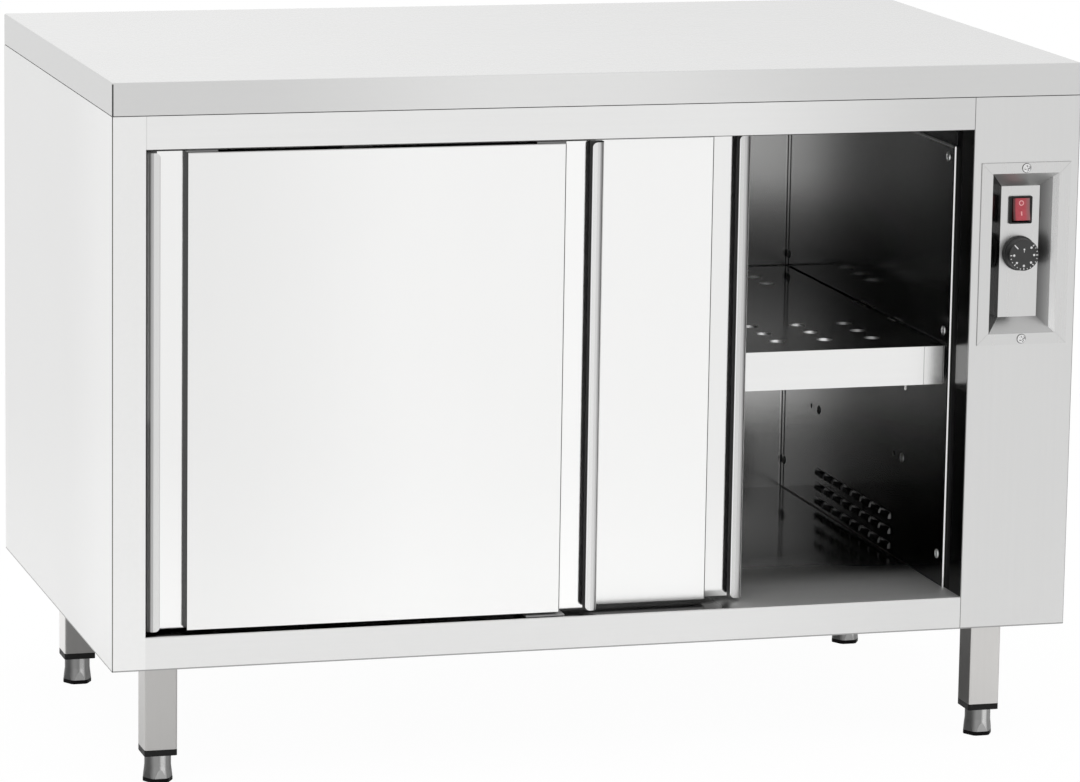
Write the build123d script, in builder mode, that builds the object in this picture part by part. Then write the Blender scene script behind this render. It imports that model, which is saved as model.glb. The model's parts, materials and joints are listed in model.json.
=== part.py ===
"""Heated plate-warmer cabinet with two sliding doors, one shelf and a control column.

Millimetres, +Z up. The origin is on the floor, under the middle of the whole cabinet.
The cabinet is laid out from the lower left corner of its body's front: a place is given as
its distance from the left side, its depth behind the front and its height above the underside
of the body. block() and the plane functions turn those three into the model's own frame.
"""

import os
from math import cos, radians, sin

from build123d import *

# ---- Driving dimensions -----------------------------------------------------------------

# The whole cabinet
CABINET_WIDTH = 1200.0
CABINET_DEPTH = 700.0
CABINET_HEIGHT = 850.0
LEG_HEIGHT = 150.0              # floor to the underside of the body

# The front
WORKTOP_THICKNESS = 40.0
TOP_RAIL = 40.0                 # height of the rail over the doors
BOTTOM_RAIL = 40.0              # height of the rail under the doors
STILE = 40.0                    # width of the post left of the doors
CONTROL_COLUMN = 137.0          # width of the control column right of the doors

# Sheet metal
CASING_SHEET = 1.0              # outer casing
LINING_SHEET = 1.0              # inner walls, floor and ceiling
WORKTOP_SHEET = 1.5
DOOR_SHEET = 1.0
FLANGE = 15.0                   # folded edge of a casing panel
BEND_RADIUS = 1.5               # outside of a casing panel's fold
WORKTOP_BEND = 2.5              # outside of the worktop's upper folds and corners
THIN_BEND = 0.8                 # outside of the folds of a door's face and of the shelf

# The warm chamber
DOOR_BAY = 57.0                 # depth of the jambs that the doors run between
CEILING_DROP = 28.0             # from the top of the door opening down to the ceiling
CEILING_FRONT = 200.0           # depth at which the ceiling begins
BACK_CAVITY = 13.0              # between the inner and the outer back wall
WALL_HEM = 3.0                  # folded front edge of an inner side wall
HEM_SLANT = 1.2                 # how much deeper the hem lies on its chamber side
CORNER_STRIP = 4.0              # raised strip at each side of the inner back wall

# Doors
DOOR_OVERLAP = 95.0             # of the two doors when both are closed
DOOR_THICKNESS = 18.0
FRONT_DOOR_DEPTH = 8.0          # of the front door's face behind the cabinet's front
REAR_DOOR_DEPTH = 36.0          # of the rear door's face behind the cabinet's front
REAR_DOOR_OPEN = 268.0          # how far the rear door stands open, to the left
DOOR_GAP = 4.5                  # above and below a door
DOOR_SIDE_GAP = 3.0             # beside a closed door
SIDE_STRIP = 48.5               # recessed strip with the grip, at each side of a door
GRIP_LIP = 16.0                 # width of the grip's turned-in lip
LIP_CORNER = 6.0                # rounding of the lip's free corners
GRIP_BEND = 9.0                 # outside of the grip's rolled edge

# Hangers, rollers and tracks
HANGER_WIDTH = 36.0
HANGER_SHEET = 2.0
HANGER_DEPTH = 6.0              # of the hanger's upright behind the door's face
AXLE_HEIGHT = 24.5              # of the roller's axle above the door's top edge
AXLE_DIAMETER = 6.0
ROLLER_DIAMETER = 24.0
ROLLER_WIDTH = 8.0
ROLLER_GROOVE = 0.6             # depth of the groove round the roller
TRACK_SHEET = 1.5
TRACK_LEDGE = 9.0               # width of the ledge a roller runs on

# Door guide on the chamber's floor, and rubber door buffers
GUIDE_FROM_MIDDLE = 18.5        # left of the middle of the door opening
GUIDE_LENGTH = 48.0
GUIDE_BASE = 3.0
GUIDE_FIN = 5.0
GUIDE_FIN_HEIGHT = 18.0
BUFFER_DIAMETER = 10.0
BUFFER_INSET = 68.0             # from the top and bottom edges of a door

# Shelf
SHELF_TOP = 344.0               # above the underside of the body
SHELF_LIP = 48.0
SHELF_FRONT = 64.0              # depth of the shelf's front edge
SHELF_SHEET = 1.2
SHELF_CORNER = 2.5              # rounding of its upright corners
SHELF_SIDE_GAP = 3.0
SHELF_BACK_GAP = 8.0
SHELF_HOLE = 20.0               # diameter
SHELF_HOLE_PITCH_X = 62.0
SHELF_HOLE_PITCH_Y = 53.0
SHELF_HOLE_COLUMNS = 15
SHELF_HOLE_ROWS = 3
FRONT_HOLES_INSET = 122.0       # middle row of the front holes behind the shelf's front edge
BACK_HOLES_INSET = 78.0         # middle row of the back holes before the shelf's back edge

# Shelf clips and the holes they hook into
PEG_UNDER_SHELF = 72.0          # upper row of peg holes under the shelf's top
PEG_ROW_PITCH = 99.0            # from the upper row down to the lower one
PEG_PAIRS = (230.0, 555.0)      # depths
PEG_PITCH = 30.0                # between the two holes of a pair
PEG_HOLE = 7.0
PEG_DIAMETER = 6.6
CLIP_SHEET = 1.5
CLIP_LEDGE = 12.0
CLIP_OVERHANG = 5.0             # of the clip's plate past its pegs at each side
CLIP_DROP = 35.0                # height of the clip's plate

# Warm-air slots in the right inner wall
SLOT_LENGTH = 33.0
SLOT_HEIGHT = 6.5
SLOT_PITCH_Y = 37.0
SLOT_PITCH_Z = 19.5
SLOT_COLUMNS = 8
SLOT_ROWS = 3
SLOTS_DEPTH = 397.0             # middle of the field of slots
SLOTS_OVER_FLOOR = 29.5         # middle row of slots over the chamber's floor

# Screws in the inner side walls
WALL_SCREW_OVER_FLOOR = 38.0
WALL_SCREW_OVER_SHELF = 16.0
WALL_SCREW_UNDER_CEILING = 15.0
WALL_SCREW_FRONT = 80.0
WALL_SCREW_BACK_GAP = 8.0       # from the back wall
SCREW_DIAMETER = 4.0
SCREW_HEAD = 12.0
SCREW_HEAD_HEIGHT = 2.0
SCREW_HEAD_TAPER = 20.0         # degrees
SCREW_LENGTH = 8.0

# Control recess
DISH_WIDTH = 116.0
DISH_HEIGHT = 225.0
DISH_FROM_TOP = 233.0           # its middle below the cabinet's top
DISH_RIM_X = 15.0               # flat rim left and right
DISH_RIM_Z = 13.5               # flat rim above and below
DISH_DEPTH = 18.0
DISH_SHEET = 1.0
DISH_SCREW_MIDDLE = 7.0         # of the screws from the rim's outer edge
WINDOW_CLEARANCE = 1.5          # round the dish, in the column's sheet

# Rocker switch
SWITCH_OVER_MIDDLE = 51.5       # above the middle of the recess
SWITCH_WIDTH = 30.0
SWITCH_HEIGHT = 34.0
SWITCH_RIM = 2.5                # how far its frame stands out
SWITCH_CORNER = 2.0
SWITCH_BODY_DEPTH = 24.0
TAB_WIDTH = 6.3                 # flat terminals behind the switch
TAB_SHEET = 0.8
TAB_LENGTH = 8.0
TAB_SPACING = 14.0
ROCKER_WIDTH = 21.6
ROCKER_HALF = 13.6              # half the rocker's height
ROCKER_POCKET_WIDTH = 22.6
ROCKER_POCKET_HEIGHT = 30.0
ROCKER_PIVOT = 2.0              # depth of the pivot behind the dish's floor
ROCKER_REACH = 8.0              # from the pivot to the rocker's two high edges
ROCKER_SADDLE = 6.5             # from the pivot to the low middle of the rocker
ROCKER_TILT = 9.0               # degrees either way from the middle
ROCKER_BACK_INSET = 2.0         # how much shorter its back is at each end
ROCKER_PIN = 3.0                # diameter
ROCKER_PIN_LENGTH = 1.2

# Thermostat and its knob
KNOB_UNDER_MIDDLE = 2.0         # below the middle of the recess
KNOB_BASE = 43.0                # diameter
KNOB_FACE = 39.0                # diameter
KNOB_PROUD = 2.0                # of the knob's face before the cabinet's front
KNOB_FLOAT = 0.7                # between the knob and the dish's floor
KNOB_SOCKET = 12.0              # depth of the spindle's socket
KNOB_SKIRT = 2.5                # height of the wider base
KNOB_ROUND = 1.2
SPINDLE_DIAMETER = 6.0
BUSHING_DIAMETER = 10.0
BUSHING_LENGTH = 5.0
THERMOSTAT_WIDTH = 44.0
THERMOSTAT_HEIGHT = 36.0
THERMOSTAT_DEPTH = 28.0
THERMOSTAT_CORNER = 3.0
CAPILLARY_DIAMETER = 2.0
CAPILLARY_BEND = 10.0           # middle radius
CAPILLARY_RUN = 30.0            # straight stretch before the bulb
BULB_DIAMETER = 6.0
BULB_LENGTH = 90.0
BULB_DEPTH = 330.0              # of the bulb's front end
BULB_DROP = 147.0               # below the thermostat

# Heating unit in the column, behind the slots
DUCT_WIDTH = 118.0
DUCT_HEIGHT = 60.0              # above the chamber's floor
DUCT_MARGIN = 14.0              # past the slots, front and back
DUCT_SHEET = 1.0
FAN_SIZE = 110.0
FAN_THICKNESS = 38.0
FAN_BORE = 100.0
FAN_BEHIND_SLOTS = 73.0         # its middle behind the middle of the slots
FAN_CORNER = 5.0
HUB_DIAMETER = 42.0
FAN_BLADES = 7
BLADE_SHEET = 1.6
BLADE_PITCH = 40.0              # degrees
TIP_CLEARANCE = 1.5
STRUT_WIDTH = 7.0
FAN_SHAFT = 3.0                 # diameter
HEATER_TUBE = 8.5               # diameter
HEATER_BEND = 22.0              # middle radius of the hairpin
HEATER_CORNER = 3.0             # of its flange
HEATER_FLANGE = 3.0

# Terminal block and cable gland
TERMINAL_LENGTH = 56.0
TERMINAL_DEPTH = 24.0
TERMINAL_HEIGHT = 28.0
TERMINAL_WAYS = 5
TERMINAL_SCREW = 5.0
GLAND_THREAD = 20.0
GLAND_BORE = 10.0
GLAND_NUT = 26.0                # across the flats
GLAND_NUT_HEIGHT = 6.0
GLAND_DOME_HEIGHT = 16.0
GLAND_DOME_WALL = 1.0           # of the dome outside the thread's diameter
GLAND_DOME_ROUND = 4.0
GLAND_FROM_RIGHT = 45.0
GLAND_FROM_BACK = 45.0

# Legs and feet
LEG_TUBE = 40.0
LEG_WALL = 1.5
LEG_CORNER = 3.0
LEG_LEFT = 68.0                 # leg's middle from the left side
LEG_RIGHT = 86.0                # leg's middle from the right side
LEG_FRONT = 62.0                # leg's middle behind the front
LEG_BACK = 135.0                # leg's middle before the back
LEG_PLATE = 90.0
LEG_PLATE_SHEET = 3.0
LEG_BOLT = 6.0
LEG_BOLT_HEAD = 10.0
LEG_BOLT_HEAD_HEIGHT = 2.2
LEG_BOLT_LENGTH = 12.0
LEG_BOLT_INSET = 10.0           # from the plate's edges
INSERT_FLANGE = 7.6
INSERT_DEPTH = 22.0
FOOT_HEIGHT = 34.0
FOOT_SLEEVE = 32.0              # diameter
FOOT_FLARE = 36.0               # diameter of the flared lower end
FOOT_FLATS = 33.0               # across the six flats of the lower end
FOOT_RIM = 3.0
FOOT_TAPER = 17.0               # height of the flare above the rim
STEM_DIAMETER = 10.0
STEM_LENGTH = 66.0              # above the foot's sleeve

# Clearances
JOINT_GAP = 0.3                 # between pieces that slide past or rest on each other
RUNNING_FIT = 0.05              # radial, a pin or shaft in its bearing
SCREW_CLEARANCE = 0.3           # radial, a screw in its hole
SEAT_FIT = 0.02                 # radial, a piece pressed or glued in its seat

# Insulation and worktop stiffeners
STIFFENER_WIDTH = 60.0
STIFFENER_HEIGHT = 25.0
STIFFENER_FLANGE = 15.0
STIFFENER_INSET = 45.0          # from each end of the worktop
STIFFENER_FROM_EDGE = 210.0     # its middle from the worktop's front or back edge
CEILING_WOOL = 40.0
WALL_WOOL = 30.0

# ---- Worked-out places ------------------------------------------------------------------

BODY_HEIGHT = CABINET_HEIGHT - LEG_HEIGHT
WORKTOP_UNDER = BODY_HEIGHT - WORKTOP_THICKNESS
OPENING_LEFT = STILE
OPENING_RIGHT = CABINET_WIDTH - CONTROL_COLUMN
OPENING_BOTTOM = BOTTOM_RAIL
OPENING_TOP = WORKTOP_UNDER - TOP_RAIL
CEILING = OPENING_TOP - CEILING_DROP
CHAMBER_LEFT = OPENING_LEFT + WALL_HEM
CHAMBER_RIGHT = OPENING_RIGHT - WALL_HEM
CHAMBER_BACK = CABINET_DEPTH - CASING_SHEET - BACK_CAVITY
FRONT_PROUD = DISH_SHEET + SCREW_HEAD_HEIGHT
DISH_FLOOR = DISH_DEPTH - DISH_SHEET
DOOR_BOTTOM = OPENING_BOTTOM + DOOR_GAP
DOOR_TOP = OPENING_TOP - DOOR_GAP
DOOR_HEIGHT = DOOR_TOP - DOOR_BOTTOM
DOOR_WIDTH = (OPENING_RIGHT - OPENING_LEFT - 2 * DOOR_SIDE_GAP + DOOR_OVERLAP) / 2
REAR_DOOR_LEFT = OPENING_RIGHT - DOOR_SIDE_GAP - DOOR_WIDTH - REAR_DOOR_OPEN
COLUMN_MIDDLE = (OPENING_RIGHT + CABINET_WIDTH) / 2
DISH_MIDDLE = BODY_HEIGHT - DISH_FROM_TOP
SWITCH_MIDDLE = DISH_MIDDLE + SWITCH_OVER_MIDDLE
KNOB_HEIGHT = DISH_MIDDLE - KNOB_UNDER_MIDDLE
SHELF_BACK = CHAMBER_BACK - SHELF_BACK_GAP
SLOTS_HEIGHT = OPENING_BOTTOM + SLOTS_OVER_FLOOR
PEG_ROWS = (SHELF_TOP - PEG_UNDER_SHELF - PEG_ROW_PITCH, SHELF_TOP - PEG_UNDER_SHELF)
WALL_SCREW_HEIGHTS = (
    OPENING_BOTTOM + WALL_SCREW_OVER_FLOOR,
    SHELF_TOP + WALL_SCREW_OVER_SHELF,
    CEILING - WALL_SCREW_UNDER_CEILING,
)
FAN_MIDDLE_DEPTH = SLOTS_DEPTH + FAN_BEHIND_SLOTS
HEATER_HEIGHT = OPENING_BOTTOM + DUCT_HEIGHT / 2
DOORS = {
    "front_door": (OPENING_LEFT + DOOR_SIDE_GAP, FRONT_DOOR_DEPTH),
    "rear_door": (REAR_DOOR_LEFT, REAR_DOOR_DEPTH),
}
LEGS = {
    "front_left": (LEG_LEFT, LEG_FRONT),
    "front_right": (CABINET_WIDTH - LEG_RIGHT, LEG_FRONT),
    "back_left": (LEG_LEFT, CABINET_DEPTH - LEG_BACK),
    "back_right": (CABINET_WIDTH - LEG_RIGHT, CABINET_DEPTH - LEG_BACK),
}


def place(left, depth, height):
    """The model's point at a place given from the body's lower left front corner."""
    return Vector(
        left - CABINET_WIDTH / 2,
        depth - (CABINET_DEPTH - FRONT_PROUD) / 2,
        height + LEG_HEIGHT,
    )


def block(left, right, front, back, bottom, top, mode=Mode.ADD):
    """A plain block or sheet, in the part that is being built."""
    with Locations(place((left + right) / 2, (front + back) / 2, (bottom + top) / 2)):
        Box(right - left, back - front, top - bottom, mode=mode)


def facing_front(left, depth, height):
    """A plane seen from the front: its x runs right, its y runs up."""
    return Plane(origin=place(left, depth, height), x_dir=(1, 0, 0), z_dir=(0, -1, 0))


def facing_left(left, depth, height):
    """A plane seen from inside the chamber on its right wall: x runs forward, y runs up."""
    return Plane(origin=place(left, depth, height), x_dir=(0, -1, 0), z_dir=(-1, 0, 0))


def facing_up(left, depth, height):
    """A level plane: x runs right, y runs back."""
    return Plane(origin=place(left, depth, height), x_dir=(1, 0, 0), z_dir=(0, 0, 1))


def fold(piece, along, left, depth, height, radius=BEND_RADIUS):
    """Rounds a sheet's fold: the edge along an axis that is nearest to a place."""
    edge = piece.edges().filter_by(along).sort_by_distance(place(left, depth, height))[0]
    fillet(edge, radius)


os.makedirs("parts", exist_ok=True)


def write(piece, name):
    """Labels a finished piece and writes its own file."""
    piece.part.label = name
    export_step(piece.part, f"parts/{name}.step")


# ---- Worktop ----------------------------------------------------------------------------

# A shallow upside-down tray, welded at the corners and folded in under its edges.
with BuildPart() as worktop:
    block(0, CABINET_WIDTH, 0, CABINET_DEPTH, WORKTOP_UNDER, BODY_HEIGHT)
    fillet(worktop.edges().filter_by(Axis.Z), WORKTOP_BEND)
    fillet(worktop.faces().sort_by(Axis.Z)[-1].edges(), WORKTOP_BEND)
    fillet(worktop.faces().sort_by(Axis.Z)[0].edges(), WORKTOP_SHEET)
    block(
        WORKTOP_SHEET, CABINET_WIDTH - WORKTOP_SHEET,
        WORKTOP_SHEET, CABINET_DEPTH - WORKTOP_SHEET,
        WORKTOP_UNDER + WORKTOP_SHEET, BODY_HEIGHT - WORKTOP_SHEET,
        mode=Mode.SUBTRACT,
    )
    block(
        FLANGE, CABINET_WIDTH - FLANGE, FLANGE, CABINET_DEPTH - FLANGE,
        WORKTOP_UNDER, WORKTOP_UNDER + WORKTOP_SHEET,
        mode=Mode.SUBTRACT,
    )
write(worktop, "worktop")

# Two hat-shaped stiffeners glued under the worktop's sheet.
with BuildPart() as worktop_stiffeners:
    stiffener_top = BODY_HEIGHT - WORKTOP_SHEET
    stiffener_bottom = stiffener_top - STIFFENER_HEIGHT
    for middle in (STIFFENER_FROM_EDGE, CABINET_DEPTH - STIFFENER_FROM_EDGE):
        for side in (-1, 1):
            outer = middle + side * STIFFENER_WIDTH / 2
            inner = outer - side * STIFFENER_FLANGE
            web = inner - side * CASING_SHEET
            block(
                STIFFENER_INSET, CABINET_WIDTH - STIFFENER_INSET, min(outer, web), max(outer, web),
                stiffener_top - CASING_SHEET, stiffener_top,
            )
            block(
                STIFFENER_INSET, CABINET_WIDTH - STIFFENER_INSET, min(inner, web), max(inner, web),
                stiffener_bottom, stiffener_top,
            )
        half_hat = STIFFENER_WIDTH / 2 - STIFFENER_FLANGE
        block(
            STIFFENER_INSET, CABINET_WIDTH - STIFFENER_INSET, middle - half_hat, middle + half_hat,
            stiffener_bottom, stiffener_bottom + CASING_SHEET,
        )
write(worktop_stiffeners, "worktop_stiffeners")

# ---- Outer casing -----------------------------------------------------------------------

# The left side, folded round the front as the stile and back in as the door jamb.
with BuildPart() as left_side_panel:
    block(0, CASING_SHEET, 0, CABINET_DEPTH, 0, WORKTOP_UNDER)
    block(0, STILE, 0, CASING_SHEET, 0, WORKTOP_UNDER)
    block(STILE - CASING_SHEET, STILE, 0, DOOR_BAY, CASING_SHEET, WORKTOP_UNDER)
    fold(left_side_panel, Axis.Z, 0, 0, WORKTOP_UNDER / 2)
write(left_side_panel, "left_side_panel")

# The right side, folded round the front as the control column, with the window for the
# controls, and back in as the other jamb.
window_width = DISH_WIDTH - 2 * DISH_RIM_X + 2 * (DISH_SHEET + WINDOW_CLEARANCE)
window_height = DISH_HEIGHT - 2 * DISH_RIM_Z + 2 * (DISH_SHEET + WINDOW_CLEARANCE)
screw_reach = DISH_HEIGHT - 2 * DISH_SCREW_MIDDLE
with BuildPart() as right_side_panel:
    block(CABINET_WIDTH - CASING_SHEET, CABINET_WIDTH, 0, CABINET_DEPTH, 0, WORKTOP_UNDER)
    block(OPENING_RIGHT, CABINET_WIDTH, 0, CASING_SHEET, 0, WORKTOP_UNDER)
    block(
        OPENING_RIGHT, OPENING_RIGHT + CASING_SHEET, 0, DOOR_BAY, CASING_SHEET, WORKTOP_UNDER
    )
    for left in (OPENING_RIGHT, CABINET_WIDTH):
        fold(right_side_panel, Axis.Z, left, 0, WORKTOP_UNDER / 2)
    with BuildSketch(facing_front(COLUMN_MIDDLE, 0, DISH_MIDDLE)):
        Rectangle(window_width, window_height)
        with GridLocations(0, screw_reach, 1, 2):
            Circle(SCREW_DIAMETER / 2 + SCREW_CLEARANCE)
    extrude(amount=-CASING_SHEET, mode=Mode.SUBTRACT)
write(right_side_panel, "right_side_panel")

# The back, a flat sheet with two flanges folded forward inside the sides.
with BuildPart() as back_panel:
    block(
        CASING_SHEET, CABINET_WIDTH - CASING_SHEET,
        CABINET_DEPTH - CASING_SHEET, CABINET_DEPTH, 0, WORKTOP_UNDER,
    )
    for left in (CASING_SHEET, CABINET_WIDTH - 2 * CASING_SHEET):
        block(
            left, left + CASING_SHEET, CABINET_DEPTH - FLANGE, CABINET_DEPTH,
            CASING_SHEET, WORKTOP_UNDER,
        )
write(back_panel, "back_panel")

# The sheet that closes the body underneath, with holes for the leg bolts and the cable gland.
bolt_reach = LEG_PLATE - 2 * LEG_BOLT_INSET
gland_left = CABINET_WIDTH - GLAND_FROM_RIGHT
gland_depth = CABINET_DEPTH - GLAND_FROM_BACK
with BuildPart() as underside_panel:
    block(
        CASING_SHEET, CABINET_WIDTH - CASING_SHEET,
        CASING_SHEET, CABINET_DEPTH - CASING_SHEET, 0, CASING_SHEET,
    )
    for leg_left, leg_depth in LEGS.values():
        with BuildSketch(facing_up(leg_left, leg_depth, 0)):
            with GridLocations(bolt_reach, bolt_reach, 2, 2):
                Circle(LEG_BOLT / 2 + SCREW_CLEARANCE)
        extrude(amount=CASING_SHEET, mode=Mode.SUBTRACT)
    with BuildSketch(facing_up(gland_left, gland_depth, 0)):
        Circle(GLAND_THREAD / 2 + SCREW_CLEARANCE)
    extrude(amount=CASING_SHEET, mode=Mode.SUBTRACT)
write(underside_panel, "underside_panel")

# The rail over the doors: a small lip below, and a deep flange above that carries the tracks.
with BuildPart() as top_front_rail:
    block(OPENING_LEFT, OPENING_RIGHT, 0, CASING_SHEET, OPENING_TOP, WORKTOP_UNDER)
    block(
        OPENING_LEFT, OPENING_RIGHT, 0, FRONT_DOOR_DEPTH - 2 * CASING_SHEET,
        OPENING_TOP, OPENING_TOP + CASING_SHEET,
    )
    block(
        OPENING_LEFT, OPENING_RIGHT, 0, CEILING_FRONT + CASING_SHEET,
        WORKTOP_UNDER - CASING_SHEET, WORKTOP_UNDER,
    )
    fold(top_front_rail, Axis.X, (OPENING_LEFT + OPENING_RIGHT) / 2, 0, OPENING_TOP)
write(top_front_rail, "top_front_rail")

# ---- Warm chamber -----------------------------------------------------------------------

# The chamber's floor, folded down at the front as the bottom rail and at the other sides.
floor_back = CHAMBER_BACK + LINING_SHEET
with BuildPart() as cabinet_floor:
    block(
        OPENING_LEFT, OPENING_RIGHT, 0, floor_back, OPENING_BOTTOM - LINING_SHEET, OPENING_BOTTOM
    )
    block(OPENING_LEFT, OPENING_RIGHT, 0, LINING_SHEET, 0, OPENING_BOTTOM)
    for left in (OPENING_LEFT, OPENING_RIGHT - LINING_SHEET):
        block(
            left, left + LINING_SHEET, DOOR_BAY, floor_back, CASING_SHEET, OPENING_BOTTOM
        )
    block(
        OPENING_LEFT, OPENING_RIGHT, CHAMBER_BACK, floor_back, CASING_SHEET, OPENING_BOTTOM
    )
    fold(cabinet_floor, Axis.X, (OPENING_LEFT + OPENING_RIGHT) / 2, 0, OPENING_BOTTOM)
write(cabinet_floor, "cabinet_floor")

screw_places = [
    (depth, height)
    for depth in (WALL_SCREW_FRONT, CHAMBER_BACK - WALL_SCREW_BACK_GAP)
    for height in WALL_SCREW_HEIGHTS
]
# On the right, the front hole of each lower pair takes a screw in place of a peg.
low_screw_places = [(middle - PEG_PITCH / 2, PEG_ROWS[0]) for middle in PEG_PAIRS]
peg_places = [
    (middle + side * PEG_PITCH / 2, height)
    for middle in PEG_PAIRS
    for side in (-1, 1)
    for height in PEG_ROWS
]


def wall_hole(chamber_face, depth, height, radius):
    """Cuts a round hole through an inner side wall."""
    with Locations(Plane(origin=place(chamber_face, depth, height), z_dir=(1, 0, 0))):
        Cylinder(radius, 4 * LINING_SHEET, mode=Mode.SUBTRACT)


def inner_wall(chamber_face, wall_back, jamb_edge, screws):
    """One inner side wall: a sheet with a slanted hem against the jamb and one at its top."""
    hem_front = DOOR_BAY + HEM_SLANT
    block(*sorted((chamber_face, wall_back)), hem_front, CHAMBER_BACK, OPENING_BOTTOM, CEILING)
    block(
        *sorted((chamber_face, jamb_edge)), hem_front, CEILING_FRONT,
        CEILING - LINING_SHEET, CEILING,
    )
    with BuildSketch(facing_up(0, 0, OPENING_BOTTOM)) as hem:
        Polygon(
            (chamber_face, hem_front),
            (jamb_edge, DOOR_BAY),
            (jamb_edge, DOOR_BAY + LINING_SHEET),
            (chamber_face, hem_front + LINING_SHEET),
            align=None,
        )
    extrude(hem.sketch, amount=CEILING - OPENING_BOTTOM)
    for depth, height in screws:
        wall_hole(chamber_face, depth, height, SCREW_DIAMETER / 2 + SCREW_CLEARANCE)
    for depth, height in peg_places:
        if (depth, height) not in screws:
            wall_hole(chamber_face, depth, height, PEG_HOLE / 2)


with BuildPart() as left_inner_wall:
    inner_wall(
        CHAMBER_LEFT, CHAMBER_LEFT - LINING_SHEET, OPENING_LEFT - CASING_SHEET, screw_places
    )
write(left_inner_wall, "left_inner_wall")

# The right wall also has the warm-air slots, low down over the heating unit.
with BuildPart() as right_inner_wall:
    inner_wall(
        CHAMBER_RIGHT, CHAMBER_RIGHT + LINING_SHEET, OPENING_RIGHT + CASING_SHEET,
        screw_places + low_screw_places,
    )
    with BuildSketch(facing_left(CHAMBER_RIGHT, SLOTS_DEPTH, SLOTS_HEIGHT)):
        with GridLocations(SLOT_PITCH_Y, SLOT_PITCH_Z, SLOT_COLUMNS, SLOT_ROWS):
            SlotOverall(SLOT_LENGTH, SLOT_HEIGHT)
    extrude(amount=-LINING_SHEET, mode=Mode.SUBTRACT)
write(right_inner_wall, "right_inner_wall")

with BuildPart() as back_inner_wall:
    block(
        CHAMBER_LEFT - LINING_SHEET, CHAMBER_RIGHT + LINING_SHEET, CHAMBER_BACK, floor_back,
        OPENING_BOTTOM, CEILING,
    )
    for strip_left in (CHAMBER_LEFT, CHAMBER_RIGHT - CORNER_STRIP):
        block(
            strip_left, strip_left + CORNER_STRIP, CHAMBER_BACK - LINING_SHEET, CHAMBER_BACK,
            OPENING_BOTTOM, CEILING,
        )
write(back_inner_wall, "back_inner_wall")

# The ceiling, folded up at the front behind the tracks, with a wing behind each jamb.
with BuildPart() as ceiling_panel:
    block(
        OPENING_LEFT, OPENING_RIGHT, CEILING_FRONT, floor_back, CEILING, CEILING + LINING_SHEET
    )
    block(
        OPENING_LEFT - CASING_SHEET, OPENING_RIGHT + CASING_SHEET,
        CEILING_FRONT, CEILING_FRONT + LINING_SHEET, CEILING, WORKTOP_UNDER - CASING_SHEET,
    )
    for left in (OPENING_LEFT - CASING_SHEET, OPENING_RIGHT):
        block(
            left, left + CASING_SHEET, DOOR_BAY, CEILING_FRONT, CEILING, WORKTOP_UNDER - CASING_SHEET
        )
write(ceiling_panel, "ceiling_panel")

# Mineral wool in the left wall and over the ceiling.
with BuildPart() as side_insulation:
    block(
        CASING_SHEET, CASING_SHEET + WALL_WOOL, DOOR_BAY + LINING_SHEET, CABINET_DEPTH - FLANGE,
        OPENING_BOTTOM, CEILING,
    )
write(side_insulation, "side_insulation")

with BuildPart() as ceiling_insulation:
    block(
        OPENING_LEFT, OPENING_RIGHT, CEILING_FRONT + LINING_SHEET, floor_back,
        CEILING + LINING_SHEET, CEILING + LINING_SHEET + CEILING_WOOL,
    )
write(ceiling_insulation, "ceiling_insulation")


def screw(head_plane, head_diameter, head_height, shank_diameter, length):
    """A round-headed screw whose head stands on the plane and whose shank goes behind it."""
    with BuildSketch(head_plane) as shank:
        Circle(shank_diameter / 2)
    extrude(shank.sketch, amount=-length)
    with BuildSketch(head_plane) as head:
        Circle(head_diameter / 2)
    extrude(head.sketch, amount=head_height, taper=SCREW_HEAD_TAPER)


# Screws that hold the two inner side walls.
with BuildPart() as wall_screws:
    for wall_left, outward, screws in (
        (CHAMBER_RIGHT, -1, screw_places + low_screw_places), (CHAMBER_LEFT, 1, screw_places)
    ):
        for depth, height in screws:
            head_plane = Plane(
                origin=place(wall_left, depth, height), x_dir=(0, 1, 0), z_dir=(outward, 0, 0)
            )
            screw(head_plane, SCREW_HEAD, SCREW_HEAD_HEIGHT, SCREW_DIAMETER, SCREW_LENGTH)
write(wall_screws, "wall_screws")

# ---- Shelf and its clips ----------------------------------------------------------------

# Four clips, each an angle hooked into the wall by two pegs, with a ledge under the shelf.
clip_half = PEG_PITCH / 2 + CLIP_OVERHANG
ledge_top = SHELF_TOP - SHELF_LIP - JOINT_GAP
with BuildPart() as shelf_clips:
    for wall_left, inward in ((CHAMBER_RIGHT, -1), (CHAMBER_LEFT, 1)):
        for middle in PEG_PAIRS:
            plate_left, plate_right = sorted((wall_left, wall_left + inward * CLIP_SHEET))
            ledge_left, ledge_right = sorted((wall_left, wall_left + inward * CLIP_LEDGE))
            block(
                plate_left, plate_right, middle - clip_half, middle + clip_half,
                ledge_top - CLIP_DROP, ledge_top,
            )
            block(
                ledge_left, ledge_right, middle - clip_half, middle + clip_half,
                ledge_top - CLIP_SHEET, ledge_top,
            )
            for side in (-1, 1):
                peg_plane = Plane(
                    origin=place(wall_left, middle + side * PEG_PITCH / 2, PEG_ROWS[-1]),
                    x_dir=(0, 1, 0), z_dir=(-inward, 0, 0),
                )
                with BuildSketch(peg_plane):
                    Circle(PEG_DIAMETER / 2)
                extrude(amount=3 * LINING_SHEET)
write(shelf_clips, "shelf_clips")

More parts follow.
